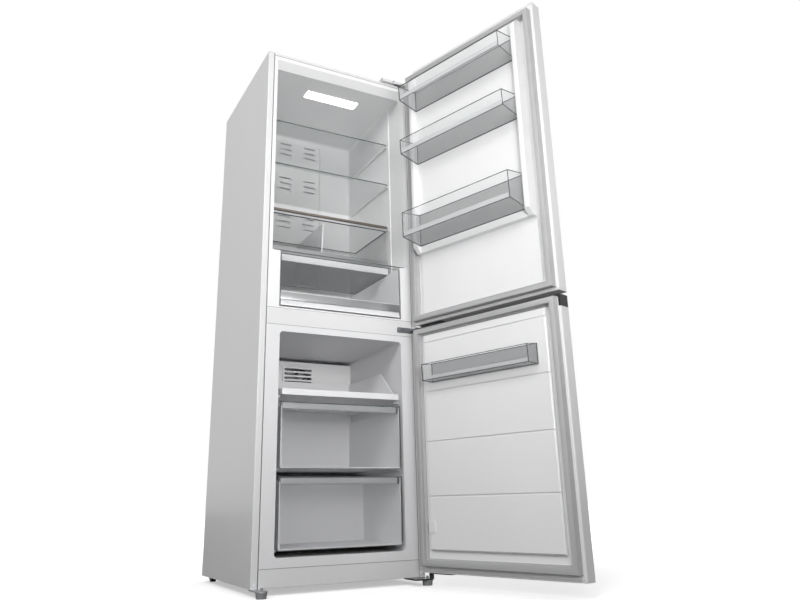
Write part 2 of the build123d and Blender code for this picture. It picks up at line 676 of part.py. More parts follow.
def drip_tray():
    """Shallow tray that sits on the compressor and dries off the melt water."""
    floor = TRAY_Z + TRAY_SHEET / 2 + MOUNT_LIFT + BRACKET + COMPRESSOR_HEIGHT
    half = COMPRESSOR_RADIUS - DRIP_INSET
    tray = wide(half, (-half, half), (floor, floor + DRIP_HEIGHT))
    tray = chamfer(tray.edges().filter_by(Axis.Z), DRIP_INSET)
    hollow = wide(half - LINER, (LINER - half, half - LINER), (floor + LINER, floor + DRIP_HEIGHT))
    return Pos(COMPRESSOR_X, COMPRESSOR_Y, 0) * (tray - chamfer(hollow.edges().filter_by(Axis.Z), DRIP_INSET))


def machine_cover():
    """Rear cover of the machine space with its air slots."""
    y = (tray_end(), DEPTH - SHEET)
    cover = wide(HALF - SHEET - SHEET_BEND, y, (BASE, SLOPE_TOP - SHEET / 2))
    across, up = VENT_PITCH
    for row in range(VENT_ROWS):
        for column in range(VENT_COLUMNS):
            x, z = (column - (VENT_COLUMNS - 1) / 2) * across, KICK_TOP + (row + 1) * up
            cover -= Pos(x, 0, z) * wide(VENT_LENGTH / 2, y, (0, VENT_HEIGHT))
    return cover


def power_inlet():
    """Moulded gland on the rear cover where the supply enters."""
    x, z = FLANGE_X - 2 * SIDE_FLANGE, KICK_TOP
    back, reach = DEPTH - SHEET, 2 * PLATE_TIP
    gland = Pos(x, 0, z) * wide(reach, (back, back + BRACKET), (-reach, reach))
    gland = chamfer(gland.edges().filter_by(Axis.Y), BRACKET)
    gland += Pos(x, back + BRACKET, z) * bar(BACKWARD, PLATE_TIP, 3 * BRACKET, FOOT_SIDES // 2)
    return gland - bore_y(x, (back + 2 * BRACKET, back + 4 * BRACKET), z, STEM)


# ---- cold air ---------------------------------------------------------------------------
def evaporator():
    """Finned serpentine tube behind the freezer's rear cover."""
    far = FREEZER_BACK - COIL_TUBE - FACE
    near = far - COIL_BANK
    rows = [COIL_FOOT + COIL_PITCH * i for i in range(COIL_ROWS)]
    runs = [(near, z) for z in rows] + [(far, z) for z in rows[::-1]]
    tube = Plane.YZ * RegularPolygon(COIL_TUBE, COIL_SIDES)
    coil = Part()
    for y, z in runs:
        coil += Pos(-COIL_HALF, y, z) * extrude(tube, amount=2 * COIL_HALF)
    side = 1
    for (y0, z0), (y1, z1) in zip(runs, runs[1:]):
        x = (COIL_HALF - 2 * COIL_TUBE, COIL_HALF) if side > 0 else (-COIL_HALF, 2 * COIL_TUBE - COIL_HALF)
        coil += block(
            x,
            (min(y0, y1) - COIL_TUBE / 2, max(y0, y1) + COIL_TUBE / 2),
            (min(z0, z1) - COIL_TUBE / 2, max(z0, z1) + COIL_TUBE / 2),
        )
        side = -side
    reach = COIL_HALF - 4 * COIL_TUBE
    for i in range(FINS):
        x = reach * (2 * i / (FINS - 1) - 1)
        fin = (x - FIN_THICK / 2, x + FIN_THICK / 2)
        coil += block(
            fin, (near - 2 * COIL_TUBE, FREEZER_BACK), (rows[0] - COIL_PITCH / 3, rows[-1] + COIL_PITCH / 3)
        )
    return coil


def evaporator_cover():
    """Rear wall of the freezer with a louvred boss ahead of the fan and a row of return slots."""
    half = FREEZER_HALF - SLIDE_GAP
    y = (COVER_FRONT, COVER_FRONT + COVER)
    cover = wide(half, y, (COVER_FOOT, FREEZER_TOP - LINER_ROUND))
    cover += wide(half, (y[1], y[1] + SIDE_FLANGE), (COVER_FOOT, COVER_FOOT + COVER))
    reach = FAN_OPENING + BRACKET
    boss = Pos(0, 0, FAN_Z) * wide(reach, (y[0] - BRACKET, y[0]), (-reach, reach))
    cover += chamfer(boss.faces().sort_by(Axis.Y)[0].edges(), LINER)
    cover -= Pos(0, 0, FAN_Z) * wide(FAN_OPENING - BRACKET, (y[0] - BRACKET / 2, y[1]), (-FAN_RADIUS, FAN_RADIUS))
    for row in range(LOUVRES):
        z = FAN_Z + ((row + 1 / 2) / LOUVRES * 2 - 1) * FAN_RADIUS
        louvre = (z - LOUVRE_SLOT / 2, z + LOUVRE_SLOT / 2)
        cover -= wide(FAN_OPENING - BRACKET, (y[0] - BRACKET, y[0]), louvre)
    slot = Pos(0, 0, COVER_FOOT + COIL_BANK) * wide(3 * COIL_TUBE, y, (0, VENT_HEIGHT))
    for column in range(RETURN_SLOTS):
        cover -= both(Pos((column + 1) * COIL_HALF / (RETURN_SLOTS + 1), 0, 0) * slot)
    return cover


def fan_motor():
    """Square fan frame with its round opening, arms, motor and shaft."""
    front = COVER_FRONT + COVER
    back, hub = front + 2 * FAN_DEPTH, FAN_RADIUS / 3
    half = FAN_OPENING + COVER
    body = Pos(0, 0, FAN_Z) * wide(half, (front, back), (-half, half))
    body -= Pos(0, front, FAN_Z) * bar(BACKWARD, FAN_OPENING, back - front, CAN_SIDES)
    for i in range(FAN_ARMS):
        arm = block((hub / 2, FAN_OPENING + COVER / 2), (back - COVER, back), (-COVER, COVER))
        body += Pos(0, 0, FAN_Z) * Rot(0, 90 + i * 360 / FAN_ARMS, 0) * arm
    body += Pos(0, back - FAN_DEPTH / 2, FAN_Z) * bar(BACKWARD, hub, FAN_DEPTH, FOOT_SIDES)
    return body + bore_y(0, (front + FAN_DEPTH / 2, back), FAN_Z, SHAFT)


def evaporator_fan():
    """Axial rotor that turns on the motor's shaft."""
    start = COVER_FRONT + COVER + BRACKET
    y = (start, start + FAN_DEPTH)
    hub, chord = FAN_RADIUS / 3, FAN_DEPTH / 2
    rotor = Pos(0, y[0], 0) * bar(BACKWARD, hub, FAN_DEPTH, FOOT_SIDES)
    for i in range(FAN_BLADES):
        blade = block((hub - LINER, FAN_RADIUS), (-LINER / 2, LINER / 2), (-chord, chord))
        blade = Pos(0, (y[0] + y[1]) / 2, 0) * Rot(FAN_PITCH, 0, 0) * blade
        rotor += Rot(0, i * 360 / FAN_BLADES, 0) * blade
    return Pos(0, 0, FAN_Z) * (rotor - bore_y(0, (y[0] + LINER, y[1]), 0, SHAFT + RUNNING))


def air_duct():
    """Raised panel on the fridge's back wall with its rows of air slots."""
    y = (FRIDGE_BACK - DUCT_DEPTH, FRIDGE_BACK)
    panel = wide(DUCT_HALF, y, (DUCT_FOOT, DUCT_TOP))
    panel = chamfer(panel.faces().sort_by(Axis.Y)[0].edges(), DUCT_DEPTH / 2)
    room = (DUCT_FOOT + DUCT_DEPTH, DUCT_TOP - DUCT_DEPTH)
    panel -= wide(DUCT_HALF - DUCT_DEPTH, (y[0] + LINER, y[1]), room)
    length, height = DUCT_SLOT
    for shelf in (CEILING, UPPER_SHELF, MIDDLE_SHELF):
        for row in range(DUCT_SLOTS):
            slot = wide(length / 2, y, (0, height))
            panel -= both(Pos(DUCT_HALF / 2, 0, shelf - DUCT_SLOT_DROP - row * DUCT_SLOT_PITCH) * slot)
    return panel


def light_lens():
    """Clear lens of the ceiling light."""
    x0, x1, y0, y1 = LENS
    lens = block((x0, x1), (y0, y1), (CEILING - LENS_DROP, CEILING))
    return chamfer(lens.faces().sort_by(Axis.Z)[0].edges(), LENS_DROP / 2)


# ---- shelves and bins -------------------------------------------------------------------
def shelf(under):
    """Glass shelf with rounded corners."""
    front = STEP_BACK + SHELF_SETBACK
    pane = wide(SHELF_HALF - GLASS_SIDE_GAP, (front, GLASS_BACK), (under, under + GLASS))
    return fillet(pane.edges().filter_by(Axis.Z).group_by(Axis.Y)[0], GLASS_ROUND)


def crisper_cover_trim():
    """Trim that grips the front edge of the crisper's glass cover."""
    front = STEP_BACK + SHELF_SETBACK - LINER
    middle = COVER_SHELF + GLASS / 2
    half = SHELF_HALF - GLASS_SIDE_GAP - GLASS_ROUND
    trim = wide(half, (front, front + TRIM_LAP), (middle - TRIM_HEIGHT / 2, middle + TRIM_HEIGHT / 2))
    trim = fillet(trim.edges().filter_by(Axis.X).group_by(Axis.Y)[0], LINER)
    return trim - shelf(COVER_SHELF)


def crisper_front():
    """Front face of the crisper."""
    return STEP_BACK + SHELF_SETBACK - LINER


def crisper_floor():
    """Underside of the crisper."""
    return LEDGE + GLASS + SLIDE_GAP


def crisper_half():
    """Half the crisper's width, narrow enough to pass the open door's seal."""
    return SHELF_HALF - BIN_SIDE_GAP


def crisper_bin():
    """Clear crisper with a thickened rim."""
    half, front = crisper_half(), crisper_front()
    top = COVER_SHELF - BIN_TOP_GAP
    x, y = (-half, half), (front, BIN_BACK)
    body = tub(x, y, (crisper_floor(), top), BIN_WALL, BIN_ROUND)
    rim = block(x, y, (top - BIN_WALL, top))
    rim = fillet(rim.edges().filter_by(Axis.Z), BIN_ROUND)
    hole = wide(half - 2 * BIN_WALL, (y[0] + 2 * BIN_WALL, y[1] - 2 * BIN_WALL), (0, TOP))
    return body + (rim - hole)


def crisper_band():
    """Satin band along the foot of the crisper's front."""
    half, front = crisper_half(), crisper_front()
    z = (crisper_floor(), crisper_floor() + BAND_HEIGHT)
    band = wide(half, (front - BAND_THICK, front), z)
    return fillet(band.edges().filter_by(Axis.X).group_by(Axis.Y)[0], BAND_THICK / 2)


def crisper_divider():
    """Loose white divider that stands across the crisper's floor."""
    front = crisper_front() + BIN_WALL
    back = BIN_BACK - BIN_WALL
    low, high = crisper_floor() + BIN_WALL, COVER_SHELF - BIN_TOP_GAP - BIN_ROUND
    points = [(front + DIVIDER_RAKE, low), (back, low), (back, high), (front + LINER, high)]
    return side_prism(points, (DIVIDER_X, DIVIDER_X + DIVIDER_THICK))


def chill_lid():
    """Clear sheet that lies on the ledges over the lower box."""
    lid = wide(SHELF_HALF - LID_SIDE_GAP, (LID_FRONT, GLASS_BACK), (LEDGE, LEDGE + GLASS))
    return fillet(lid.edges().filter_by(Axis.Z).group_by(Axis.Y)[0], GLASS_ROUND)


def chill_limits():
    """Limits of the lower box: x, y and z pairs."""
    half = NICHE_HALF - BOX_SIDE_GAP
    front = BOX_FRONT + PANEL
    z = (NICHE_FLOOR + BOX_FLOOR_GAP, LEDGE - BOX_TOP_GAP)
    return (-half, half), (front, NICHE_BACK - BOX_REAR_GAP), z


def chill_box():
    """White body of the lower box, open at the front above its lip, with two runners."""
    x, y, z = chill_limits()
    body = tub(x, y, z, BIN_WALL, BIN_ROUND, front=False)
    body += block((x[0] + BIN_WALL, x[1] - BIN_WALL), (y[0], y[0] + BIN_WALL), (z[0], z[0] + LIP_HEIGHT))
    runner = block(
        (x[1] - 3 * BIN_WALL, x[1]), (y[0] + BIN_ROUND, y[1] - BIN_ROUND), (NICHE_FLOOR + SLIDE_GAP, z[0])
    )
    return body + both(runner)


def chill_front():
    """Clear front of the lower box with its satin handle band."""
    x, y, z = chill_limits()
    face = block(x, (BOX_FRONT, y[0]), z)
    band = block(x, (BOX_FRONT - HANDLE_OUT, BOX_FRONT), (HANDLE_Z, HANDLE_Z + HANDLE_HEIGHT))
    return face + fillet(band.edges().filter_by(Axis.X).group_by(Axis.Y)[0], HANDLE_OUT / 2)


def freezer_tray():
    """White pull-out tray with a low front and sides that rise to the back."""
    half, back = FREEZER_HALF - TRAY_GAP, UPPER_DEPTH
    front, foot = DRAWER_FRONT, TRAY_FOOT
    lip = foot + TRAY_LIP
    outline = [
        (front, foot),
        (front, lip),
        (front + TRAY_RISE_FROM, lip),
        (front + TRAY_RISE_TO, TRAY_TOP),
        (back, TRAY_TOP),
        (back, foot),
    ]
    tray = side_prism(outline, (-half, half))
    inner = wide(half - BIN_WALL, (front + BIN_WALL, back - BIN_WALL), (foot + BIN_WALL, TRAY_TOP))
    return tray - fillet(inner.edges().filter_by(Axis.Z), BIN_ROUND / 2)


def drawer_body(limits, depth):
    """White drawer body, closed at the front by its clear panel."""
    half = FREEZER_HALF - DRAWER_BODY_GAP
    z = (limits[0] + BODY_FOOT, limits[1] - BODY_DROP)
    y = (DRAWER_FRONT + PANEL, depth)
    return tub((-half, half), y, z, BIN_WALL, BIN_ROUND, front=False)


def drawer_front(limits):
    """Clear drawer front with a grip rolled along its top edge."""
    half, front = DRAWER_PANEL_HALF, DRAWER_FRONT
    low, high = limits
    back = front + PANEL
    outline = [
        (front, low),
        (front, high),
        (front + GRIP_DEPTH, high),
        (front + GRIP_DEPTH, high - PANEL),
        (back, high - PANEL),
        (back, low),
    ]
    panel = side_prism(outline, (-half, half))
    panel = fillet(panel.edges().filter_by(Axis.X).sort_by(Axis.Z)[-2:], PANEL / 2)
    return fillet(panel.edges().filter_by(Axis.Y).group_by(Axis.Z)[0], BIN_ROUND)


# ---- doors ------------------------------------------------------------------------------
def door_plan(half, front, z, radius):
    """Block of a door's plan with its two outer front edges rounded."""
    slab = wide(half, (-front, -DOOR_BACK), z)
    return fillet(slab.edges().filter_by(Axis.Z).group_by(Axis.Y)[0], radius)


def door_skin(z):
    """Painted sheet wrapped round a door's front and sides, with returns at the back."""
    mid = SHEET / 2
    edge, back = HALF - mid, -DOOR_BACK - mid
    path = FilletPolyline(
        (-edge + DOOR_RETURN, back),
        (-edge, back),
        (-edge, -DOOR_FRONT + mid),
        (edge, -DOOR_FRONT + mid),
        (edge, back),
        (edge - DOOR_RETURN, back),
        radius=DOOR_BEND - mid,
    )
    return Pos(0, 0, z[0]) * extrude(trace(path, line_width=SHEET), amount=z[1] - z[0])


def hinge_pocket():
    """Room in the upper door's corner for the top hinge."""
    x = (HALF - POCKET_IN, WIDTH)
    return block(x, (SHEET - DOOR_FRONT, 0), (UPPER_DOOR[1] - POCKET_DROP, 2 * TOP))


def pin_bore(z):
    """Bore round the hinge axis."""
    return rod(HINGE_X, -HINGE_OUT, z, PIN + RUNNING)


def bush_block(z):
    """Solid corner of a cap that takes a hinge pin."""
    return block((HALF - POCKET_IN, HALF - SHEET), (-DOOR_FRONT + DOOR_BEND, -DOOR_BACK - DOOR_BEND), z)


def top_bush():
    """Bush below the hinge pocket."""
    floor = UPPER_DOOR[1] - POCKET_DROP
    return bush_block((floor - BUSH, floor))


def foot_bush(door):
    """Bush above a door's lower cap."""
    foot = door[0] + CAP
    return bush_block((foot, foot + BUSH))


def upper_top_cap():
    """Plastic cap on the upper door, cut back round the hinge, with the top pin's bush."""
    top, floor = UPPER_DOOR[1], UPPER_DOOR[1] - POCKET_DROP
    cap = door_plan(HALF, DOOR_FRONT, (top - CAP, top), DOOR_BEND) - hinge_pocket()
    cap += Pos(-CAP, 0, 0) * block(
        (HALF - POCKET_IN, HALF - POCKET_IN + CAP),
        (-DOOR_FRONT + DOOR_BEND, -DOOR_BACK - DOOR_BEND),
        (floor - BUSH, top - CAP),
    )
    notch = block((-FREEZER_HALF, -FREEZER_HALF + CAP), (-DOOR_BACK - CAP, -DOOR_BACK), (top - CAP / 2, top))
    return cap + (top_bush() - pin_bore((0, floor))) - notch


def lower_cap(door):
    """Plastic cap under a door with the bush for the pin below it."""
    z = (door[0], door[0] + CAP)
    cap = door_plan(HALF, DOOR_FRONT, z, DOOR_BEND) + foot_bush(door)
    return cap - pin_bore((0, z[1] + BUSH))


def grip_strip():
    """Dark strip along the lower door's top, hollowed as a grip, with the pin's bush."""
    top, foot = LOWER_DOOR[1], LOWER_DOOR[1] - GRIP_STRIP
    strip = door_plan(HALF, DOOR_FRONT, (foot, top), DOOR_BEND)
    scoop = [
        (-DOOR_FRONT - SHEET, foot + GRIP_STRIP / 2),
        (-DOOR_FRONT + GRIP_END, foot + CAP),
        (-DOOR_FRONT + GRIP_END + CAP, top + SHEET),
        (-DOOR_FRONT - SHEET, top + SHEET),
    ]
    strip -= side_prism(scoop, (-HALF + GRIP_END, HALF - GRIP_END))
    return strip - pin_bore((foot + CAP, TOP))


def upper_lining(shrink=0.0, rounded=True):
    """Raised part of the upper door's lining: high field, two dykes and low field."""
    s, flange = shrink, -DOOR_BACK
    z = (RELIEF_STEP + s, RELIEF_TOP - s)
    high = wide(RELIEF_HALF - s, (flange, RELIEF_BACK - s), z)
    corner = 0 if rounded else DYKE_ROUND / 2
    reach = RELIEF_BACK + DYKE_OUT - s - corner
    dyke = block((RELIEF_HALF - DYKE_WIDTH + s + corner, RELIEF_HALF - s - corner), (flange, reach), z)
    dyke = chamfer(dyke.edges().group_by(Axis.Y)[-1].filter_by(Axis.X), DYKE_OUT - s - corner)
    if rounded:
        dyke = fillet(dyke.edges().filter_by(Axis.Z).group_by(Axis.Y)[-1], DYKE_ROUND)
    foot = UPPER_SEAL[0] + GASKET_WIDTH + RELIEF_SEAL_GAP + s
    low = wide(RELIEF_HALF - s, (flange, -RELIEF_LOW - s), (foot, RELIEF_STEP + s))
    return high + both(dyke) + low


def lower_lining(shrink=0.0, rounded=True):
    """Raised fields of the lower door's lining between its grooves."""
    s = shrink
    z = (LOW_PANEL_FOOT + s, LOW_PANEL_TOP - s)
    field = wide(RELIEF_HALF - s, (-DOOR_BACK, -LOW_PANEL_FACE - s), z)
    if rounded:
        field = chamfer(field.edges().group_by(Axis.Y)[-1], GROOVE_DEPTH)
    else:
        field -= wide(HALF, (-LOW_PANEL_FACE - GROOVE_DEPTH - s, 0), z)
    for rise in GROOVES:
        low, high = LOW_PANEL_FOOT + rise - GROOVE / 2 - s, LOW_PANEL_FOOT + rise + GROOVE / 2 + s
        field -= wide(HALF, (-LOW_PANEL_FACE - GROOVE_DEPTH - s, 0), (low, high))
    return field


def door_liner(z, lining, extra=None):
    """White inner wall of a door: flat flange and the raised lining moulded with it."""
    y = (-DOOR_BACK, -DOOR_BACK + DOOR_FLANGE)
    flange = wide(HALF - FLANGE_INSET, y, (z[0] + FLANGE_INSET, z[1] - FLANGE_INSET))
    flange = fillet(flange.edges().filter_by(Axis.Y), FLANGE_INSET)
    sheet = flange + lining() - (lining(LINER) & wide(HALF, (-DOOR_BACK, DEPTH), (0, TOP)))
    return sheet + extra if extra else sheet


def door_foam(z, lining, blocks):
    """Foam inside a door's shell and behind its raised lining."""
    slab = wide(HALF - SHEET, (-DOOR_FRONT + SHEET, -DOOR_BACK - SHEET), z)
    slab = chamfer(slab.edges().filter_by(Axis.Z), DOOR_BEND - SHEET)
    filler = lining(LINER, False)
    room = filler.bounding_box()
    neck = (-DOOR_BACK - SHEET, -DOOR_BACK)
    slab += filler + block((room.min.X, room.max.X), neck, (room.min.Z, room.max.Z))
    for piece in blocks:
        slab -= piece
    return slab


def gasket(z):
    """Magnetic seal: flat foot and hollow bulb run round the door's edge."""
    half, face = HALF - GASKET_OUT, -DOOR_BACK + DOOR_FLANGE
    ring = wide(half, (face, face + GASKET_BASE), z)
    ring -= wide(half - GASKET_WIDTH, (-DOOR_BACK, 0), (z[0] + GASKET_WIDTH, z[1] - GASKET_WIDTH))
    bulb = wide(half, (face + GASKET_BASE, -GASKET_GAP), z)
    inner = half - GASKET_BULB
    bulb = chamfer(bulb.faces().sort_by(Axis.Y)[-1].edges(), GASKET_BASE / 2)
    return ring + (bulb - wide(inner, (-DOOR_BACK, 0), (z[0] + GASKET_BULB, z[1] - GASKET_BULB)))


def rack(half, foot, back, depth, rise, heights):
    """Clear open-topped rack that hangs on a door, its floor rising to the front."""
    front_height, back_height = heights
    outer = [
        (back, foot),
        (back + depth - RACK_FLARE, foot + rise),
        (back + depth, foot + rise + front_height),
        (back, foot + rise + back_height),
    ]
    inner = [
        (back + BIN_WALL, foot + BIN_WALL),
        (back + depth - RACK_FLARE - BIN_WALL, foot + rise + BIN_WALL),
        (back + depth - BIN_WALL, foot + rise + front_height + BIN_WALL),
        (back + BIN_WALL, foot + rise + back_height + BIN_WALL),
    ]
    return side_prism(outer, (-half, half)) - side_prism(inner, (-half + BIN_WALL, half - BIN_WALL))


def balcony(foot, height):
    """Rack between the upper door's dykes."""
    half = RELIEF_HALF - DYKE_WIDTH - RACK_GAP
    return rack(half, foot, RELIEF_BACK, RACK_DEPTH, RACK_RISE, (height, height + RACK_BACK))


def basket():
    """Shallow rack on the lower door."""
    heights = (BASKET_FRONT, BASKET_FRONT + BASKET_BACK)
    return rack(BASKET_HALF, BASKET_FOOT, -LOW_PANEL_FACE, BASKET_DEPTH, 0, heights)


def lining_clip():
    """Small clip moulded on the lower door's lining."""
    width, height = CLIP_SIZE
    low = LOW_PANEL_FOOT + CLIP_RISE
    clip = block(
        (RELIEF_HALF - width, RELIEF_HALF), (-LOW_PANEL_FACE - PANEL, -LOW_PANEL_FACE + PANEL), (low, low + height)
    )
    return chamfer(clip.edges().filter_by(Axis.Y), BRACKET)


# ---- hinges -----------------------------------------------------------------------------
def hinge_cover_limits():
    """Limits of the top hinge's cover: x, y and z pairs."""
    width, depth, height = HINGE_COVER_SIZE
    right = HALF - HINGE_COVER_IN
    return (right - width, right), (-HINGE_COVER_OUT, depth - HINGE_COVER_OUT), (TOP, TOP + height)


def top_hinge():
    """Plate on the cabinet's top that reaches over the upper door and holds its pin."""
    (x0, x1), (front, back), _ = hinge_cover_limits()
    tip, near = PLATE_TIP, x0 + 2 * SIDE_FLANGE
    outline = [
        (near, back - CAP),
        (near, -front),
        (HINGE_X - tip, front - CAP),
        (HINGE_X - tip, -HINGE_OUT),
        (HINGE_X + tip, -HINGE_OUT),
        (HINGE_X + tip, front),
        (x1 - 2 * LINER, 0),
        (x1 - 2 * LINER, back - CAP),
    ]
    z = (TOP, TOP + HINGE_PLATE)
    floor = UPPER_DOOR[1] - POCKET_DROP
    plate = plan_prism(outline, z) + rod(HINGE_X, -HINGE_OUT, z, tip)
    return plate + rod(HINGE_X, -HINGE_OUT, (floor - PIN_REACH, z[0]), PIN)


def top_hinge_cover():
    """Moulded cover over the top hinge, open where the plate leaves it."""
    x, y, z = hinge_cover_limits()
    cover = block(x, y, z)
    cover = chamfer(cover.edges().filter_by(Axis.Z), CAP)
    cover = chamfer(cover.faces().sort_by(Axis.Z)[-1].edges(), LINER * 3 / 2)
    inside = (z[0], z[1] - LINER)
    cover -= block((x[0] + LINER, x[1] - LINER), (y[0] + LINER, y[1] - LINER), inside)
    mouth = (HINGE_X - 5 * PLATE_TIP, HALF)
    return cover - block(mouth, (y[0], 0), (z[0], z[0] + HINGE_PLATE + FOOT_GAP))


def middle_hinge():
    """Bracket on the mullion with pins for both doors."""
    low, high = LOWER_DOOR[1], UPPER_DOOR[0]
    middle = (low + high) / 2
    plate = (middle - HINGE_PLATE / 2, middle + HINGE_PLATE / 2)
    right = HINGE_X + PLATE_TIP / 2
    flange = block((right - NOSE_LENGTH, right), (-HINGE_PLATE, 0), (low - NOSE_LAP[0], high + NOSE_LAP[1]))
    flange = chamfer(flange.edges().filter_by(Axis.Y), HINGE_PLATE)
    arm = block((HINGE_X - 3 * PLATE_TIP, right), (-HINGE_OUT, -HINGE_PLATE), plate)
    arm += rod(HINGE_X, -HINGE_OUT, plate, PLATE_TIP)
    return flange + arm + rod(HINGE_X, -HINGE_OUT, (low - PIN_REACH, high + PIN_REACH), PIN)


# ---- writing ----------------------------------------------------------------------------
def upper_door():
    """Pieces of the upper door, closed."""
    low, high = UPPER_DOOR
    shell = (low + CAP, high - CAP)
    blocks = [hinge_pocket(), upper_top_cap(), top_bush(), lower_cap(UPPER_DOOR), foot_bush(UPPER_DOOR)]
    pieces = {
        "upper_door_skin": door_skin(shell) - hinge_pocket(),
        "upper_door_top_cap": upper_top_cap(),
        "upper_door_bottom_cap": lower_cap(UPPER_DOOR),
        "upper_door_foam": door_foam(shell, upper_lining, blocks),
        "upper_door_liner": door_liner(UPPER_DOOR, upper_lining) - hinge_pocket(),
        "upper_door_gasket": gasket(UPPER_SEAL),
    }
    for name, (foot, height) in RACKS.items():
        pieces[name] = balcony(foot, height)
    return pieces


def lower_door():
    """Pieces of the lower door, closed."""
    low, high = LOWER_DOOR
    shell = (low + CAP, high - GRIP_STRIP)
    blocks = [lower_cap(LOWER_DOOR), foot_bush(LOWER_DOOR)]
    return {
        "lower_door_skin": door_skin(shell),
        "lower_door_grip_strip": grip_strip(),
        "lower_door_bottom_cap": lower_cap(LOWER_DOOR),
        "lower_door_foam": door_foam(shell, lower_lining, blocks),
        "lower_door_liner": door_liner(LOWER_DOOR, lower_lining, lining_clip()),
        "lower_door_gasket": gasket(LOWER_SEAL),
        "door_basket": basket(),
    }


def cabinet():
    """Pieces that stay with the cabinet."""
    return {
        "side_panel_left": side_panel(),
        "side_panel_right": mirrored(side_panel()),
        "top_cover": top_cover(),
        "rear_panel": rear_panel(),
        "cabinet_foam": cabinet_foam(),
        "fridge_liner": fridge_liner(),
        "freezer_liner": freezer_liner(),
        "mullion_cover": mullion_cover(),
        "kickplate": kickplate(),
        "base_plate": base_plate(),
        "compressor_tray": compressor_tray(),
        "compressor": compressor(),
        "drip_tray": drip_tray(),
        "machine_cover": machine_cover(),
        "power_inlet": power_inlet(),
        "evaporator": evaporator(),
        "evaporator_cover": evaporator_cover(),
        "fan_motor": fan_motor(),
        "air_duct": air_duct(),
        "light_lens": light_lens(),
        "shelf_upper": shelf(UPPER_SHELF),
        "shelf_middle": shelf(MIDDLE_SHELF),
        "crisper_cover": shelf(COVER_SHELF),
        "crisper_cover_trim": crisper_cover_trim(),
        "chill_lid": chill_lid(),
        "top_hinge": top_hinge(),
        "top_hinge_cover": top_hinge_cover(),
        "middle_hinge": middle_hinge(),
        "bottom_hinge": bottom_hinge(),
    }


def loose():
    """Pieces that slide, spin or turn."""
    return {
        "foot_right": foot(),
        "foot_left": mirrored(foot()),
        "roller_right": roller(),
        "roller_left": mirrored(roller()),
        "evaporator_fan": evaporator_fan(),
        "crisper_bin": crisper_bin(),
        "crisper_band": crisper_band(),
        "crisper_divider": crisper_divider(),
        "chill_box": chill_box(),
        "chill_front": chill_front(),
        "freezer_tray": freezer_tray(),
        "upper_drawer_body": drawer_body(UPPER_DRAWER, UPPER_DEPTH),
        "upper_drawer_front": drawer_front(UPPER_DRAWER),
        "lower_drawer_body": drawer_body(LOWER_DRAWER, LOWER_DEPTH),
        "lower_drawer_front": drawer_front(LOWER_DRAWER),
    }


def write(name, shape):
    """Move a piece into the row's frame and write it as one STEP file."""
    solids = (Pos(0, -DEPTH / 2, 0) * shape).solids()
    piece = solids[0] if len(solids) == 1 else Compound(children=list(solids))
    piece.label = name
    export_step(piece, os.path.join("parts", name + ".step"))


def main():
    os.makedirs("parts", exist_ok=True)
    doors = {name: swung(shape) for door in (upper_door(), lower_door()) for name, shape in door.items()}
    for name, shape in {**cabinet(), **loose(), **doors}.items():
        write(name, shape)


if __name__ == "__main__":
    main()
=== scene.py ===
"""Looks of a bottom freezer refrigerator with both doors open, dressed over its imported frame."""

import logging
import math
from dataclasses import dataclass, field
from enum import Enum
from typing import Iterable, Sequence

import bmesh
import bpy
from mathutils import Matrix, Vector


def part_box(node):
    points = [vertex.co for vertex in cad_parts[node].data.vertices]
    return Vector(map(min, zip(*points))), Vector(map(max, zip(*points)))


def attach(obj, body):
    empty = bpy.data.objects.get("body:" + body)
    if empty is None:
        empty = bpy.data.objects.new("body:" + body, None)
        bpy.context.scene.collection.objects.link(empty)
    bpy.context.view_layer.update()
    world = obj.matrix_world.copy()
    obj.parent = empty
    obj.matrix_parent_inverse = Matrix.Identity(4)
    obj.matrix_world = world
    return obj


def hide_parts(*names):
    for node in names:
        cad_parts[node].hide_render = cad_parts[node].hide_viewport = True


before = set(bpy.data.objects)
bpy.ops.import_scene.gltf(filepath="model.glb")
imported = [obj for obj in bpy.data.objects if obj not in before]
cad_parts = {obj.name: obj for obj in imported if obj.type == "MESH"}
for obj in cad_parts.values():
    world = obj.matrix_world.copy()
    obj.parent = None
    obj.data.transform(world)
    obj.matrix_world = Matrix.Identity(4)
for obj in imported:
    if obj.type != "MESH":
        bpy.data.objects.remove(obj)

LOG = logging.getLogger("refrigerator")
Point = Sequence[float]
Colour = tuple[float, float, float]
MADE: dict[str, bpy.types.Material] = {}
UPRIGHT = (0.0, 0.0, 1.0)
CLEARANCE = 0.0002  # between a small fitting and what it sits against, in metres
RANGE_ENDS = ("From Min", "From Max", "To Min", "To Max")
WHITE = (1.0, 1.0, 1.0, 1.0)


def tune(node: bpy.types.Node, values: dict[str, object]) -> None:
    """Set inputs of a node.

    Args:
        node: The node.
        values: Value of each input by its name.
    """
    for name, value in values.items():
        node.inputs[name].default_value = value


# ---- finishes ---------------------------------------------------------------------------
class Grain(Enum):
    """Fine surface structure of a finish."""

    PEEL = "orange peel of stoved paint"
    STIPPLE = "fine stipple of moulded plastic"
    BRUSHED = "drawn lines"
    SPANGLE = "zinc flowers"
    CELLS = "foam cells"
    RUBBER = "extruded rubber"
    POLISHED = "polished"


GRAIN_SCALE = {
    Grain.PEEL: 420.0,
    Grain.STIPPLE: 1500.0,
    Grain.BRUSHED: 60.0,
    Grain.SPANGLE: 90.0,
    Grain.CELLS: 700.0,
    Grain.RUBBER: 900.0,
    Grain.POLISHED: 35.0,
}


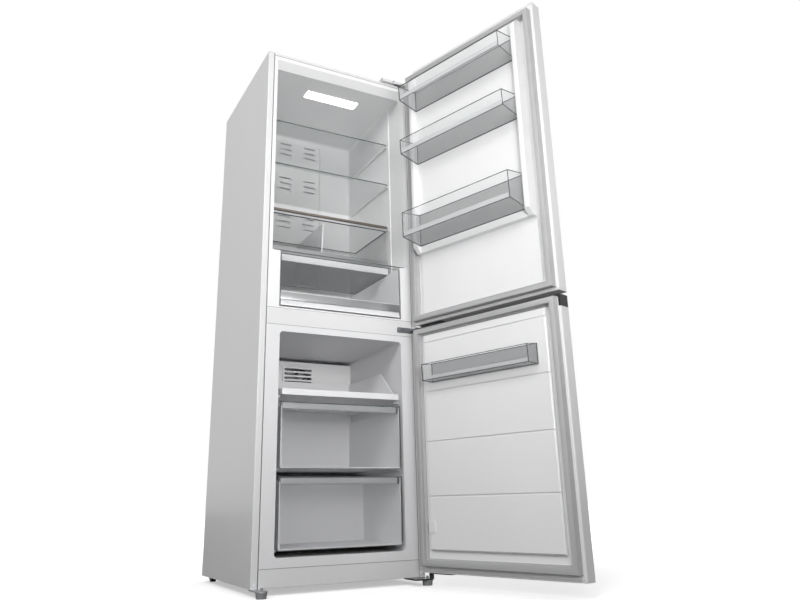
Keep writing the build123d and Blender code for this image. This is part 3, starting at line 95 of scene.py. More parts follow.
@dataclass(frozen=True)
class Finish:
    """One finish: a Principled shader with its own grain, tone and bump.

    Attributes:
        name: Name of the Blender material.
        colour: Base colour, linear.
        grain: Fine structure.
        roughness: Mean roughness.
        metallic: Metallic share.
        coat: Clear coat weight.
        transmission: Share of light that passes.
        tone: How much the colour varies over the surface.
        depth: Bump distance in metres.
        edge: Radius of the rounding seen along sharp edges, in metres.
        alpha: Cover of the surface.
    """

    name: str
    colour: Colour
    grain: Grain = Grain.STIPPLE
    roughness: float = 0.4
    metallic: float = 0.0
    coat: float = 0.0
    transmission: float = 0.0
    tone: float = 0.03
    depth: float = 0.00002
    edge: float = 0.0006
    alpha: float = 1.0

    def material(self) -> bpy.types.Material:
        """Blender material of this finish, made once.

        Returns:
            The material.
        """
        if self.name not in MADE:
            MADE[self.name] = self._make()
        return MADE[self.name]

    def _make(self) -> bpy.types.Material:
        """Build the shader with its tone and relief.

        Returns:
            The new material.
        """
        made = bpy.data.materials.new(self.name)
        made.use_nodes = True
        nodes, links = made.node_tree.nodes, made.node_tree.links
        shader = nodes["Principled BSDF"]
        tune(
            shader,
            {
                "Metallic": self.metallic,
                "Coat Weight": self.coat,
                "Coat Roughness": 0.12,
                "Transmission Weight": self.transmission,
                "IOR": 1.47,
                "Alpha": self.alpha,
            },
        )
        place = nodes.new("ShaderNodeTexCoord").outputs["Object"]
        pattern = self._pattern(nodes, links, place)
        self._tone(nodes, links, place, pattern, shader)
        self._relief(nodes, links, pattern, shader)
        return made

    def _pattern(
        self, nodes: bpy.types.Nodes, links: bpy.types.NodeLinks, place: bpy.types.NodeSocket
    ) -> bpy.types.NodeSocket:
        """Height pattern of the grain.

        Args:
            nodes: Nodes of the material.
            links: Links of the material.
            place: Socket with the coordinates.

        Returns:
            Socket with the height from 0 to 1.
        """
        if self.grain in (Grain.SPANGLE, Grain.CELLS):
            cells = nodes.new("ShaderNodeTexVoronoi")
            tune(cells, {"Scale": GRAIN_SCALE[self.grain]})
            links.new(place, cells.inputs["Vector"])
            return cells.outputs["Color" if self.grain is Grain.SPANGLE else "Distance"]
        noise = nodes.new("ShaderNodeTexNoise")
        tune(noise, {"Detail": 2.0, "Scale": GRAIN_SCALE[self.grain]})
        if self.grain is Grain.BRUSHED:
            stretch = nodes.new("ShaderNodeMapping")
            tune(stretch, {"Scale": (1.0, 40.0, 40.0)})
            links.new(place, stretch.inputs["Vector"])
            place = stretch.outputs["Vector"]
        links.new(place, noise.inputs["Vector"])
        return noise.outputs["Fac"]

    def _tone(
        self,
        nodes: bpy.types.Nodes,
        links: bpy.types.NodeLinks,
        place: bpy.types.NodeSocket,
        pattern: bpy.types.NodeSocket,
        shader: bpy.types.Node,
    ) -> None:
        """Vary the colour and the roughness a little over the surface.

        Args:
            nodes: Nodes of the material.
            links: Links of the material.
            place: Socket with the coordinates.
            pattern: Socket with the grain.
            shader: The Principled shader.
        """
        cloud = nodes.new("ShaderNodeTexNoise")
        tune(cloud, {"Scale": 5.0, "Detail": 3.0})
        links.new(place, cloud.inputs["Vector"])
        both = nodes.new("ShaderNodeMix")
        both.data_type = "FLOAT"
        tune(both, {"Factor": 0.45})
        links.new(cloud.outputs["Fac"], both.inputs["A"])
        links.new(pattern, both.inputs["B"])
        ramp = nodes.new("ShaderNodeValToRGB")
        steps = ((0.25, 1.0 - self.tone), (0.75, 1.0 + self.tone))
        for element, (position, share) in zip(ramp.color_ramp.elements, steps):
            element.position = position
            element.color = (*[min(c * share, 1.0) for c in self.colour], 1.0)
        links.new(both.outputs["Result"], ramp.inputs["Fac"])
        links.new(ramp.outputs["Color"], shader.inputs["Base Color"])
        spread = nodes.new("ShaderNodeMapRange")
        low, high = max(self.roughness * 0.85, 0.02), min(self.roughness * 1.15, 1.0)
        tune(spread, {"To Min": low, "To Max": high})
        links.new(cloud.outputs["Fac"], spread.inputs["Value"])
        links.new(spread.outputs["Result"], shader.inputs["Roughness"])

    def _relief(
        self,
        nodes: bpy.types.Nodes,
        links: bpy.types.NodeLinks,
        pattern: bpy.types.NodeSocket,
        shader: bpy.types.Node,
    ) -> None:
        """Bump of the grain over softly rounded edges.

        Args:
            nodes: Nodes of the material.
            links: Links of the material.
            pattern: Socket with the grain.
            shader: The Principled shader.
        """
        bump = nodes.new("ShaderNodeBump")
        tune(bump, {"Strength": 0.5, "Distance": self.depth})
        links.new(pattern, bump.inputs["Height"])
        if self.edge > 0.0 and self.transmission == 0.0:
            rounding = nodes.new("ShaderNodeBevel")
            rounding.samples = 4
            tune(rounding, {"Radius": self.edge})
            links.new(rounding.outputs["Normal"], bump.inputs["Normal"])
        links.new(bump.outputs["Normal"], shader.inputs["Normal"])


@dataclass(frozen=True)
class Clear(Finish):
    """Clear sheet: thin to look straight through, denser and glossier at a glancing view.

    Attributes:
        straight: Cover seen straight on.
        glancing: Cover seen along the sheet.
    """

    edge: float = 0.0
    straight: float = 0.10
    glancing: float = 0.62

    def _make(self) -> bpy.types.Material:
        """Build the shader and let its cover follow the view.

        Returns:
            The new material.
        """
        made = super()._make()
        nodes, links = made.node_tree.nodes, made.node_tree.links
        slant = nodes.new("ShaderNodeLayerWeight")
        tune(slant, {"Blend": 0.35})
        cover = nodes.new("ShaderNodeMapRange")
        tune(cover, {"To Min": self.straight, "To Max": self.glancing})
        links.new(slant.outputs["Facing"], cover.inputs["Value"])
        links.new(cover.outputs["Result"], nodes["Principled BSDF"].inputs["Alpha"])
        return made


@dataclass(frozen=True)
class Glow(Finish):
    """Frosted lens lit from behind.

    Attributes:
        strength: Light that it gives.
    """

    strength: float = 3.0

    def _make(self) -> bpy.types.Material:
        """Build the shader and light it from behind.

        Returns:
            The new material.
        """
        made = super()._make()
        nodes, links = made.node_tree.nodes, made.node_tree.links
        shader = nodes["Principled BSDF"]
        tune(shader, {"Emission Color": WHITE})
        place = nodes.new("ShaderNodeTexCoord").outputs["Object"]
        spots = nodes.new("ShaderNodeTexWave")
        tune(spots, {"Scale": 9.0})
        links.new(place, spots.inputs["Vector"])
        level = nodes.new("ShaderNodeMapRange")
        tune(level, {"To Min": self.strength * 0.92, "To Max": self.strength})
        links.new(spots.outputs["Fac"], level.inputs["Value"])
        links.new(level.outputs["Result"], shader.inputs["Emission Strength"])
        return made


PAINT = Finish(
    "stoved_paint", (0.70, 0.70, 0.705), Grain.PEEL, 0.34, coat=0.25, depth=0.000012, edge=0.0012
)
CAP = Finish("door_cap", (0.70, 0.70, 0.705), Grain.STIPPLE, 0.42, edge=0.001)
LINER = Finish(
    "moulded_liner", (0.80, 0.80, 0.805), Grain.STIPPLE, 0.36, coat=0.15, depth=0.00001, edge=0.0012
)
FROST_WHITE = Finish(
    "freezer_liner_white", (0.72, 0.72, 0.73), Grain.STIPPLE, 0.40, depth=0.00001, edge=0.0012
)
TRAY_WHITE = Finish("drawer_white", (0.80, 0.80, 0.81), Grain.STIPPLE, 0.42, edge=0.0008)
FOAM = Finish("foam_skin", (0.52, 0.49, 0.42), Grain.CELLS, 0.9, tone=0.10, depth=0.0003)
GALVANISED = Finish("galvanised_sheet", (0.46, 0.48, 0.50), Grain.SPANGLE, 0.38, metallic=0.85, tone=0.12)
ENAMEL = Finish("enamel_black", (0.012, 0.012, 0.014), Grain.PEEL, 0.35, coat=0.3, tone=0.1, depth=0.00003)
GREY = Finish("plastic_grey", (0.17, 0.175, 0.18), Grain.STIPPLE, 0.5, tone=0.06, depth=0.00003)
ZINC = Finish("hinge_zinc", (0.26, 0.265, 0.28), Grain.BRUSHED, 0.36, metallic=0.9, tone=0.10)
FIN = Finish("coil_aluminium", (0.6, 0.61, 0.62), Grain.BRUSHED, 0.4, metallic=0.9, tone=0.08)
SEAL = Finish("door_seal", (0.43, 0.43, 0.435), Grain.RUBBER, 0.62, tone=0.04, depth=0.00004, edge=0.0004)
SATIN = Finish("satin_band", (0.36, 0.365, 0.37), Grain.BRUSHED, 0.3, metallic=0.75, tone=0.07)
BRONZE = Finish("shelf_trim", (0.22, 0.19, 0.165), Grain.BRUSHED, 0.34, metallic=0.6, tone=0.07)
DARK = Finish("dark_grip", (0.012, 0.012, 0.014), Grain.STIPPLE, 0.45, tone=0.1)
FROST = Clear("frosted_plastic", (0.80, 0.81, 0.82), Grain.STIPPLE, 0.5, straight=0.6, glancing=0.85)
GLASS = Clear("glass_sheet", (0.42, 0.47, 0.46), Grain.POLISHED, 0.04, straight=0.05, glancing=0.26)
CLEAR = Clear("plastic_clear", (0.52, 0.54, 0.545), Grain.POLISHED, 0.06, straight=0.05, glancing=0.32)
# Lighter, thinner copy of the clear plastic: painted light that brightens the crisper and lower box seen
# through it.
CLEAR_LIT = Clear("bin_clear", (0.66, 0.68, 0.685), Grain.POLISHED, 0.06, straight=0.04, glancing=0.2)
# Dark finishes of the lines painted inside clear edges as the shade these edges show; the glass one also has
# the glass's green tint. RIM also colours the dark ends of the grip bars.
RIM = Clear("clear_edge", (0.06, 0.065, 0.068), Grain.POLISHED, 0.1, straight=0.75, glancing=0.95)
GLASS_RIM = Clear("glass_edge", (0.13, 0.16, 0.15), Grain.POLISHED, 0.1, straight=0.8, glancing=0.95)
GRIP = Clear("silvered_grip", (0.46, 0.47, 0.475), Grain.BRUSHED, 0.22, straight=0.8, glancing=0.92)
FOOT_PLASTIC = Finish("foot_plastic", (0.30, 0.305, 0.31), Grain.STIPPLE, 0.5, tone=0.06, depth=0.00003)
# Dark finish of strips painted as the shade inside gaps and slots.
GAP_SHADE = Finish("joint_shadow", (0.09, 0.09, 0.092), Grain.STIPPLE, 0.8, tone=0.05, edge=0.0)
LENS = Glow("light_lens", (0.95, 0.95, 0.96), Grain.STIPPLE, 0.4, edge=0.0, strength=3.0)
SCREW = Finish("screw_zinc", (0.34, 0.345, 0.36), Grain.BRUSHED, 0.3, metallic=0.95, tone=0.12, edge=0.0002)

FINISH_NODES: dict[Finish, tuple[str, ...]] = {
    PAINT: (
        "side_panel_left", "side_panel_right", "top_cover", "upper_door_skin", "lower_door_skin",
    ),
    CAP: (
        "kickplate", "mullion_cover", "upper_door_top_cap", "upper_door_bottom_cap",
        "lower_door_bottom_cap", "top_hinge_cover",
    ),
    LINER: (
        "fridge_liner", "upper_door_liner", "lower_door_liner", "evaporator_cover", "air_duct",
    ),
    FROST_WHITE: ("freezer_liner",),
    TRAY_WHITE: ("freezer_tray", "chill_box", "upper_drawer_body", "lower_drawer_body"),
    CLEAR_LIT: ("crisper_divider", "chill_lid", "crisper_bin", "chill_front"),
    FOAM: ("cabinet_foam", "upper_door_foam", "lower_door_foam"),
    GALVANISED: ("rear_panel", "base_plate", "compressor_tray", "machine_cover"),
    ENAMEL: ("compressor", "bottom_hinge", "roller_right", "roller_left", "power_inlet"),
    GREY: ("drip_tray", "fan_motor", "evaporator_fan", "foot_right", "foot_left"),
    BRONZE: ("crisper_cover_trim",),
    SATIN: ("crisper_band",),
    ZINC: ("top_hinge", "middle_hinge"),
    FIN: ("evaporator",),
    GLASS: ("shelf_upper", "shelf_middle", "crisper_cover"),
    CLEAR: (
        "upper_drawer_front", "lower_drawer_front", "balcony_top", "balcony_middle",
        "balcony_bottom", "door_basket",
    ),
    DARK: ("lower_door_grip_strip",),
    LENS: ("light_lens",),
    SEAL: ("upper_door_gasket", "lower_door_gasket"),
}


# ---- meshes -----------------------------------------------------------------------------
@dataclass
class Sculpt:
    """Mesh under construction, in metres in the shared frame.

    Attributes:
        mesh: The bmesh that takes the faces.
    """

    mesh: bmesh.types.BMesh = field(default_factory=bmesh.new)

    def loop_skin(self, rings: Sequence[Sequence[Point]], close: bool = True, caps: bool = False) -> None:
        """Faces between rings of points.

        Args:
            rings: Rings with the same number of points each.
            close: Whether the last ring joins the first.
            caps: Whether the first and last rings are filled.
        """
        made = [[self.mesh.verts.new(p) for p in ring] for ring in rings]
        pairs = list(zip(made, made[1:] + made[:1])) if close else list(zip(made, made[1:]))
        for near, far in pairs:
            for i in range(len(near)):
                j = (i + 1) % len(near)
                self.mesh.faces.new((near[i], near[j], far[j], far[i]))
        if caps:
            self.mesh.faces.new(made[0][::-1])
            self.mesh.faces.new(made[-1])

    def slab(self, low: Point, high: Point, round_by: float = 0.0) -> None:
        """Box between two corners with its edges rounded.

        Args:
            low: Lowest corner.
            high: Highest corner.
            round_by: Rounding of the edges.
        """
        size = Vector(high) - Vector(low)
        middle = (Vector(high) + Vector(low)) / 2
        made = bmesh.ops.create_cube(self.mesh, size=1.0)["verts"]
        bmesh.ops.scale(self.mesh, vec=size, verts=made)
        bmesh.ops.translate(self.mesh, vec=middle, verts=made)
        if round_by > 0.0:
            edges = list({e for v in made for e in v.link_edges})
            bmesh.ops.bevel(
                self.mesh,
                geom=edges,
                offset=round_by,
                segments=3,
                profile=0.5,
                affect="EDGES",
                clamp_overlap=True,
            )

    def tube(self, path: Sequence[Point], radius: float, sides: int = 10) -> None:
        """Round bead along a path, capped at both ends.

        Args:
            path: Points of the centre line.
            radius: Radius of the bead.
            sides: Sides of its section.
        """
        points = [Vector(p) for p in path]
        rings = []
        for i, p in enumerate(points):
            before, after = points[max(i - 1, 0)], points[min(i + 1, len(points) - 1)]
            along = (after - before).normalized()
            aside = along.cross(Vector((0, 0, 1)))
            aside = aside.normalized() if aside.length > 0.01 else Vector((1, 0, 0))
            over = aside.cross(along)
            if 0 < i < len(points) - 1:
                turn = (p - before).normalized().angle((after - p).normalized())
                aside = aside / max(math.cos(turn / 2), 0.5)
            rings.append(
                [
                    p + (aside * math.cos(a) + over * math.sin(a)) * radius
                    for a in (2 * math.pi * k / sides for k in range(sides))
                ]
            )
        self.loop_skin(rings, close=False, caps=True)

    def revolve(
        self, centre: Point, axis: Point, profile: Sequence[tuple[float, float]], sides: int = 24
    ) -> None:
        """Solid of revolution.

        Args:
            centre: Point on the axis where heights start.
            axis: Direction of the axis.
            profile: Radius and height pairs from the axis outwards and round.
            sides: Sides of the round.
        """
        along = Vector(axis).normalized()
        aside = along.orthogonal().normalized()
        over = along.cross(aside)
        around = [2 * math.pi * k / sides for k in range(sides)]
        spokes = [aside * math.cos(a) + over * math.sin(a) for a in around]
        start = Vector(centre)
        rings = [[start + along * height + spoke * radius for spoke in spokes] for radius, height in profile]
        self.loop_skin(rings, close=False, caps=True)

    def piece(self, name: str, body: str, finish: Finish, smooth: float = 30.0) -> bpy.types.Object:
        """Turn the faces into a dressed piece that rides on a body.

        Args:
            name: Name of the piece.
            body: CAD body that carries it.
            finish: Its finish.
            smooth: Edges under this angle, in degrees, shade smooth.

        Returns:
            The new object.
        """
        bmesh.ops.recalc_face_normals(self.mesh, faces=self.mesh.faces)
        data = bpy.data.meshes.new(name)
        self.mesh.to_mesh(data)
        self.mesh.free()
        for polygon in data.polygons:
            polygon.use_smooth = True
        data.set_sharp_from_angle(angle=math.radians(smooth))
        made = bpy.data.objects.new(name, data)
        bpy.context.scene.collection.objects.link(made)
        data.materials.append(finish.material())
        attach(made, body)
        LOG.info("piece %s rides on %s with %s", name, body, finish.name)
        return made


def dress(node: str, finish: Finish) -> None:
    """Give a CAD node its finish.

    Args:
        node: Name of the node.
        finish: The finish.
    """
    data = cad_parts[node].data
    data.materials.clear()
    data.materials.append(finish.material())
    LOG.info("node %s takes %s", node, finish.name)


@dataclass
class EdgeLines:
    """Dark lines painted just inside a clear sheet's edges, as the shade that these edges show.

    Attributes:
        node: CAD node of the clear piece.
        body: CAD body that carries it.
        finish: Finish of the lines.
        slot_name: Name of a material slot; not used.
        radius: Half thickness of a line.
        sharp: Smallest turn between two faces, in degrees, that counts as an edge.
        rear: Whether the edges at the back get lines too.
        rear_depth: How far from the back an edge counts as being there.
    """

    node: str
    body: str
    finish: Finish
    slot_name: str = "clear_plastic"
    radius: float = 0.0009
    sharp: float = 40.0
    rear: bool = True
    rear_depth: float = 0.002

    def build(self) -> None:
        """Make the lines."""
        back = math.inf if self.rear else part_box(self.node)[1].y - self.rear_depth
        sheet = bmesh.new()
        sheet.from_mesh(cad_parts[self.node].data)
        bmesh.ops.remove_doubles(sheet, verts=sheet.verts, dist=0.00001)
        bmesh.ops.recalc_face_normals(sheet, faces=sheet.faces)
        sculpt = Sculpt()
        for edge in sheet.edges:
            ahead = min(vertex.co.y for vertex in edge.verts) < back
            if ahead and len(edge.link_faces) == 2 and edge.calc_face_angle() > math.radians(self.sharp):
                self._line(sculpt, edge)
        sheet.free()
        sculpt.piece(self.node + "_edges", self.body, self.finish)

    def _line(self, sculpt: Sculpt, edge: bmesh.types.BMEdge) -> None:
        """One square bar inside an edge.

        Args:
            sculpt: Mesh that takes it.
            edge: Edge that it follows.
        """
        one, two = (face.normal.copy() for face in edge.link_faces)
        inside = -(one + two) * self.radius
        start, end = (vertex.co + inside for vertex in edge.verts)
        r = self.radius * 0.98
        sides = (one * r + two * r, one * r - two * r, -one * r - two * r, two * r - one * r)
        sculpt.loop_skin([[p + s for s in sides] for p in (start, end)], close=False, caps=True)


# ---- doors ------------------------------------------------------------------------------
@dataclass(frozen=True)
class Swing:
    """Turn that takes a door's closed place to its open one.

    Attributes:
        hinge: Hinge axis, x and y.
        angle: Opening in degrees.
    """

    hinge: tuple[float, float] = (0.2895, -0.343)
    angle: float = 106.5

    def matrix(self) -> Matrix:
        """Matrix from closed to open."""
        pivot = Vector((*self.hinge, 0.0))
        turn = Matrix.Rotation(math.radians(self.angle), 4, "Z")
        return Matrix.Translation(pivot) @ turn @ Matrix.Translation(-pivot)

    def closed_box(self, node: str) -> tuple[Vector, Vector]:
        """Lowest and highest corners of a door's node with the door closed.

        Args:
            node: Name of the node.

        Returns:
            Both corners.
        """
        back = self.matrix().inverted()
        points = [back @ v.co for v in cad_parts[node].data.vertices]
        low = Vector([min(p[i] for p in points) for i in range(3)])
        high = Vector([max(p[i] for p in points) for i in range(3)])
        return low, high

    def open(self, sculpt: Sculpt) -> Sculpt:
        """Turn a mesh that was made on the closed door.

        Args:
            sculpt: The mesh.

        Returns:
            The same mesh, turned.
        """
        bmesh.ops.transform(sculpt.mesh, matrix=self.matrix(), verts=sculpt.mesh.verts)
        return sculpt


@dataclass
class Seal:
    """Magnetic door seal with its foot, two pleats and the flat magnet face.

    Attributes:
        node: CAD node that it stands for.
        body: CAD body that carries it.
        swing: Turn of the door.
        profile: Section as inset from the outer edge and height above the foot, as shares.
        width: Full inset of the section, in metres.
    """

    node: str
    body: str
    swing: Swing
    profile: tuple[tuple[float, float], ...] = (
        (0.00, 0.00),
        (0.00, 0.22),
        (0.04, 0.28),
        (0.01, 0.36),
        (0.05, 0.46),
        (0.00, 0.58),
        (0.05, 0.70),
        (0.01, 0.84),
        (0.04, 0.96),
        (0.09, 1.00),
        (0.72, 1.00),
        (0.78, 0.95),
        (0.80, 0.82),
        (0.76, 0.68),
        (0.80, 0.55),
        (0.75, 0.42),
        (0.80, 0.33),
        (0.86, 0.28),
        (0.96, 0.25),
        (1.00, 0.18),
        (1.00, 0.00),
    )
    width: float = 0.0235

    def build(self) -> None:
        """Make the seal and put it in place of its node."""
        low, high = self.swing.closed_box(self.node)
        height = high.y - low.y
        rings = []
        corners = (
            (low.x, low.z, 1, 1),
            (high.x, low.z, -1, 1),
            (high.x, high.z, -1, -1),
            (low.x, high.z, 1, -1),
        )
        for x, z, inward_x, inward_z in corners:
            rings.append(
                [
                    (x + inward_x * u * self.width, low.y + v * height, z + inward_z * u * self.width)
                    for u, v in self.profile
                ]
            )
        sculpt = Sculpt()
        sculpt.loop_skin(rings)
        made = self.swing.open(sculpt).piece(self.node.replace("gasket", "seal"), self.body, SEAL, 40.0)
        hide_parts(self.node)


@dataclass
class DoorRack:
    """Trim of a clear rack that hangs on a door: painted shade lines along its edges and a frosted band.

    Attributes:
        node: CAD node of the rack.
        body: CAD body that carries it.
        swing: Turn of the door.
        drop: Front rim below the back one.
        rise: Front edge of the floor above its back edge.
        band: Height of the frosted band.
        foot: Band above the front edge of the floor.
        wall: Front wall's inner face behind its outer one, where the band lies.
        flare: How far the front wall leans out over its height.
        inset: Band inside the rack's ends.
        skin: Thickness of the band.
    """

    node: str
    body: str
    swing: Swing
    drop: float = 0.015
    rise: float = 0.013
    band: float = 0.016
    foot: float = 0.004
    wall: float = 0.0028
    flare: float = 0.003
    inset: float = 0.006
    skin: float = 0.0006

    def build(self) -> None:
        """Make the lines and the band."""
        low, high = self.swing.closed_box(self.node)
        EdgeLines(self.node, self.body, RIM).build()
        front_foot = low.z + self.rise
        foot = front_foot + self.foot
        lean = self.flare / max(high.z - self.drop - front_foot, 0.01)
        left, right = low.x + self.inset, high.x - self.inset
        band = Sculpt()
        rings = []
        for z in (foot, foot + self.band):
            y = high.y - self.flare - self.wall + (z - front_foot) * lean
            rings.append([(left, y, z), (right, y, z), (right, y - self.skin, z), (left, y - self.skin, z)])
        band.loop_skin(rings, close=False, caps=True)
        made = self.swing.open(band).piece(self.node + "_band", self.body, FROST)


@dataclass
class Doors:
    """Both doors with their seals, racks, stops and washers.

    Attributes:
        swing: Turn of the doors.
        stop_near: Corner of a stop plate from the pin's axis, x and y.
        stop_far: Its other corner.
        stop_thick: Thickness of a stop plate with its clearance.
        washer: Radius of a washer.
        washer_rim: Rounding of its rim.
        arm: Half thickness of the middle hinge's plate with a clearance.
    """

    swing: Swing = field(default_factory=Swing)
    stop_near: tuple[float, float] = (-0.104, -0.009)
    stop_far: tuple[float, float] = (-0.012, 0.021)
    stop_thick: float = 0.0038
    washer: float = 0.0078
    washer_rim: float = 0.0006
    arm: float = 0.0017

    def build(self) -> None:
        """Dress the doors."""
        for prefix in ("upper", "lower"):
            Seal(f"{prefix}_door_gasket", f"{prefix}_door", self.swing).build()
        for node in ("balcony_top", "balcony_middle", "balcony_bottom"):
            DoorRack(node, "upper_door", self.swing).build()
        DoorRack("door_basket", "lower_door", self.swing, drop=0.008, rise=0.0, band=0.010).build()
        self._stops()
        self._washers()

    def _stops(self) -> None:
        """Black stop plate under each door beside its pin."""
        x, y = self.swing.hinge
        for door in ("upper", "lower"):
            foot = self.swing.closed_box(f"{door}_door_bottom_cap")[0].z
            near = (x + self.stop_near[0], y + self.stop_near[1], foot - self.stop_thick)
            far = (x + self.stop_far[0], y + self.stop_far[1], foot - CLEARANCE)
            sculpt = Sculpt()
            sculpt.slab(near, far, 0.0012)
            made = self.swing.open(sculpt).piece(f"{door}_door_stop", f"{door}_door", ENAMEL)

    def _washers(self) -> None:
        """Washers on the middle hinge's pin, between its plate and the doors."""
        x, y = self.swing.hinge
        top = self.swing.closed_box("lower_door_grip_strip")[1].z
        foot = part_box("upper_door_bottom_cap")[0].z
        middle, r, rim = (top + foot) / 2, self.washer, self.washer_rim
        sculpt = Sculpt()
        for low, high in ((top + CLEARANCE, middle - self.arm), (middle + self.arm, foot - CLEARANCE)):
            tall = high - low
            profile = [(r * 0.9, 0.0), (r, rim), (r, tall - rim), (r * 0.9, tall)]
            sculpt.revolve((x, y, low), UPRIGHT, profile)
        sculpt.piece("middle_hinge_washers", "cabinet", GREY)


# ---- cabinet ----------------------------------------------------------------------------
class Facing(Enum):
    """Direction that a fastener's head looks."""

    FRONT = (0.0, -1.0, 0.0)
    BACK = (0.0, 1.0, 0.0)


@dataclass
class Screws:
    """Pan-head screws with a cross recess, all of one row in one piece.

    Attributes:
        name: Name of the piece.
        body: CAD body that carries them.
        facing: Where the heads look.
        centres: Points under the heads.
        radius: Radius of a head.
        height: Height of a head.
    """

    name: str
    body: str
    facing: Facing
    centres: Iterable[Point]
    radius: float = 0.004
    height: float = 0.0018

    def build(self) -> None:
        """Make the screws."""
        sculpt = Sculpt()
        r, h = self.radius, self.height
        shares = ((1.0, 0.0), (1.0, 0.4), (0.85, 0.8), (0.5, 1.0), (0.34, 1.0), (0.2, 0.45))
        profile = [(r * across, h * up) for across, up in shares]
        for centre in self.centres:
            sculpt.revolve(centre, self.facing.value, profile, 16)
            self._cross(sculpt, centre)
        sculpt.piece(self.name, self.body, SCREW)

    def _cross(self, sculpt: Sculpt, centre: Point) -> None:
        """Four small studs that leave the cross recess between them.

        Args:
            sculpt: Mesh that takes them.
            centre: Centre of the screw.
        """
        along = Vector(self.facing.value)
        aside = along.orthogonal().normalized()
        over = along.cross(aside)
        stud = [(self.radius * 0.12, 0.0), (self.radius * 0.08, self.height * 0.14)]
        for a in (math.radians(degrees) for degrees in (45, 135, 225, 315)):
            outwards = aside * math.cos(a) + over * math.sin(a)
            foot = Vector(centre) + along * self.height * 0.9 + outwards * self.radius * 0.33
            sculpt.revolve(foot, along, stud, 6)


@dataclass
class Foot:
    """Levelling foot with a ribbed, tapered knob and its stem.

    Attributes:
        node: CAD node that it stands for.
        body: CAD body that carries it.
        ribs: Ribs round the knob.
        knob: Height of the knob.
        groove: Radius between two ribs as a share of theirs.
        stem: Radius of the thread.
        root: Radius at the thread's root.
        turns: Turns of the thread.
    """

    node: str
    body: str
    ribs: int = 24
    knob: float = 0.0168
    groove: float = 0.965
    stem: float = 0.0045
    root: float = 0.0039
    turns: int = 7

    def build(self) -> None:
        """Make the foot and put it in place of its node."""
        low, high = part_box(self.node)
        centre = (low + high) / 2
        tall = high.z - low.z
        knob = min(self.knob, tall * 0.6)
        sculpt = Sculpt()
        rings = self._knob_rings(centre, low.z, (high.x - low.x) / 2, knob)
        sculpt.loop_skin(rings, close=False, caps=True)
        pitch = (tall - knob) / self.turns
        thread = [(self.stem, 0.0)]
        for i in range(self.turns):
            thread += [(self.stem, pitch * (i + 0.25)), (self.root, pitch * (i + 0.75))]
        thread.append(((self.stem + self.root) / 2, tall - knob))
        sculpt.revolve((centre.x, centre.y, low.z + knob), UPRIGHT, thread, 20)
        made = sculpt.piece(self.node + "_knob", self.body, FOOT_PLASTIC, 35.0)
        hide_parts(self.node)

    def _knob_rings(self, centre: Vector, foot: float, wide: float, knob: float) -> list[list[Point]]:
        """Rings of the ribbed knob, which narrows to the floor and has a rolled top.

        Args:
            centre: Point on the foot's axis.
            foot: Height of the floor.
            wide: Radius of the CAD knob.
            knob: Height of the knob.

        Returns:
            The rings from the floor up.
        """
        rows = (
            (0.0, 0.82),
            (0.0012, 0.87),
            (knob - 0.0030, 0.96),
            (knob - 0.0024, 0.99),
            (knob - 0.0010, 0.99),
            (knob, 0.95),
        )
        steps = self.ribs * 4
        rings = []
        for z, share in rows:
            ribbed = 0.001 < z < knob - 0.0005
            ring = []
            for k in range(steps):
                a = 2 * math.pi * k / steps
                r = wide * share * (self.groove if ribbed and k % 4 in (2, 3) else 1.0)
                ring.append((centre.x + r * math.cos(a), centre.y + r * math.sin(a), foot + z))
            rings.append(ring)
        return rings


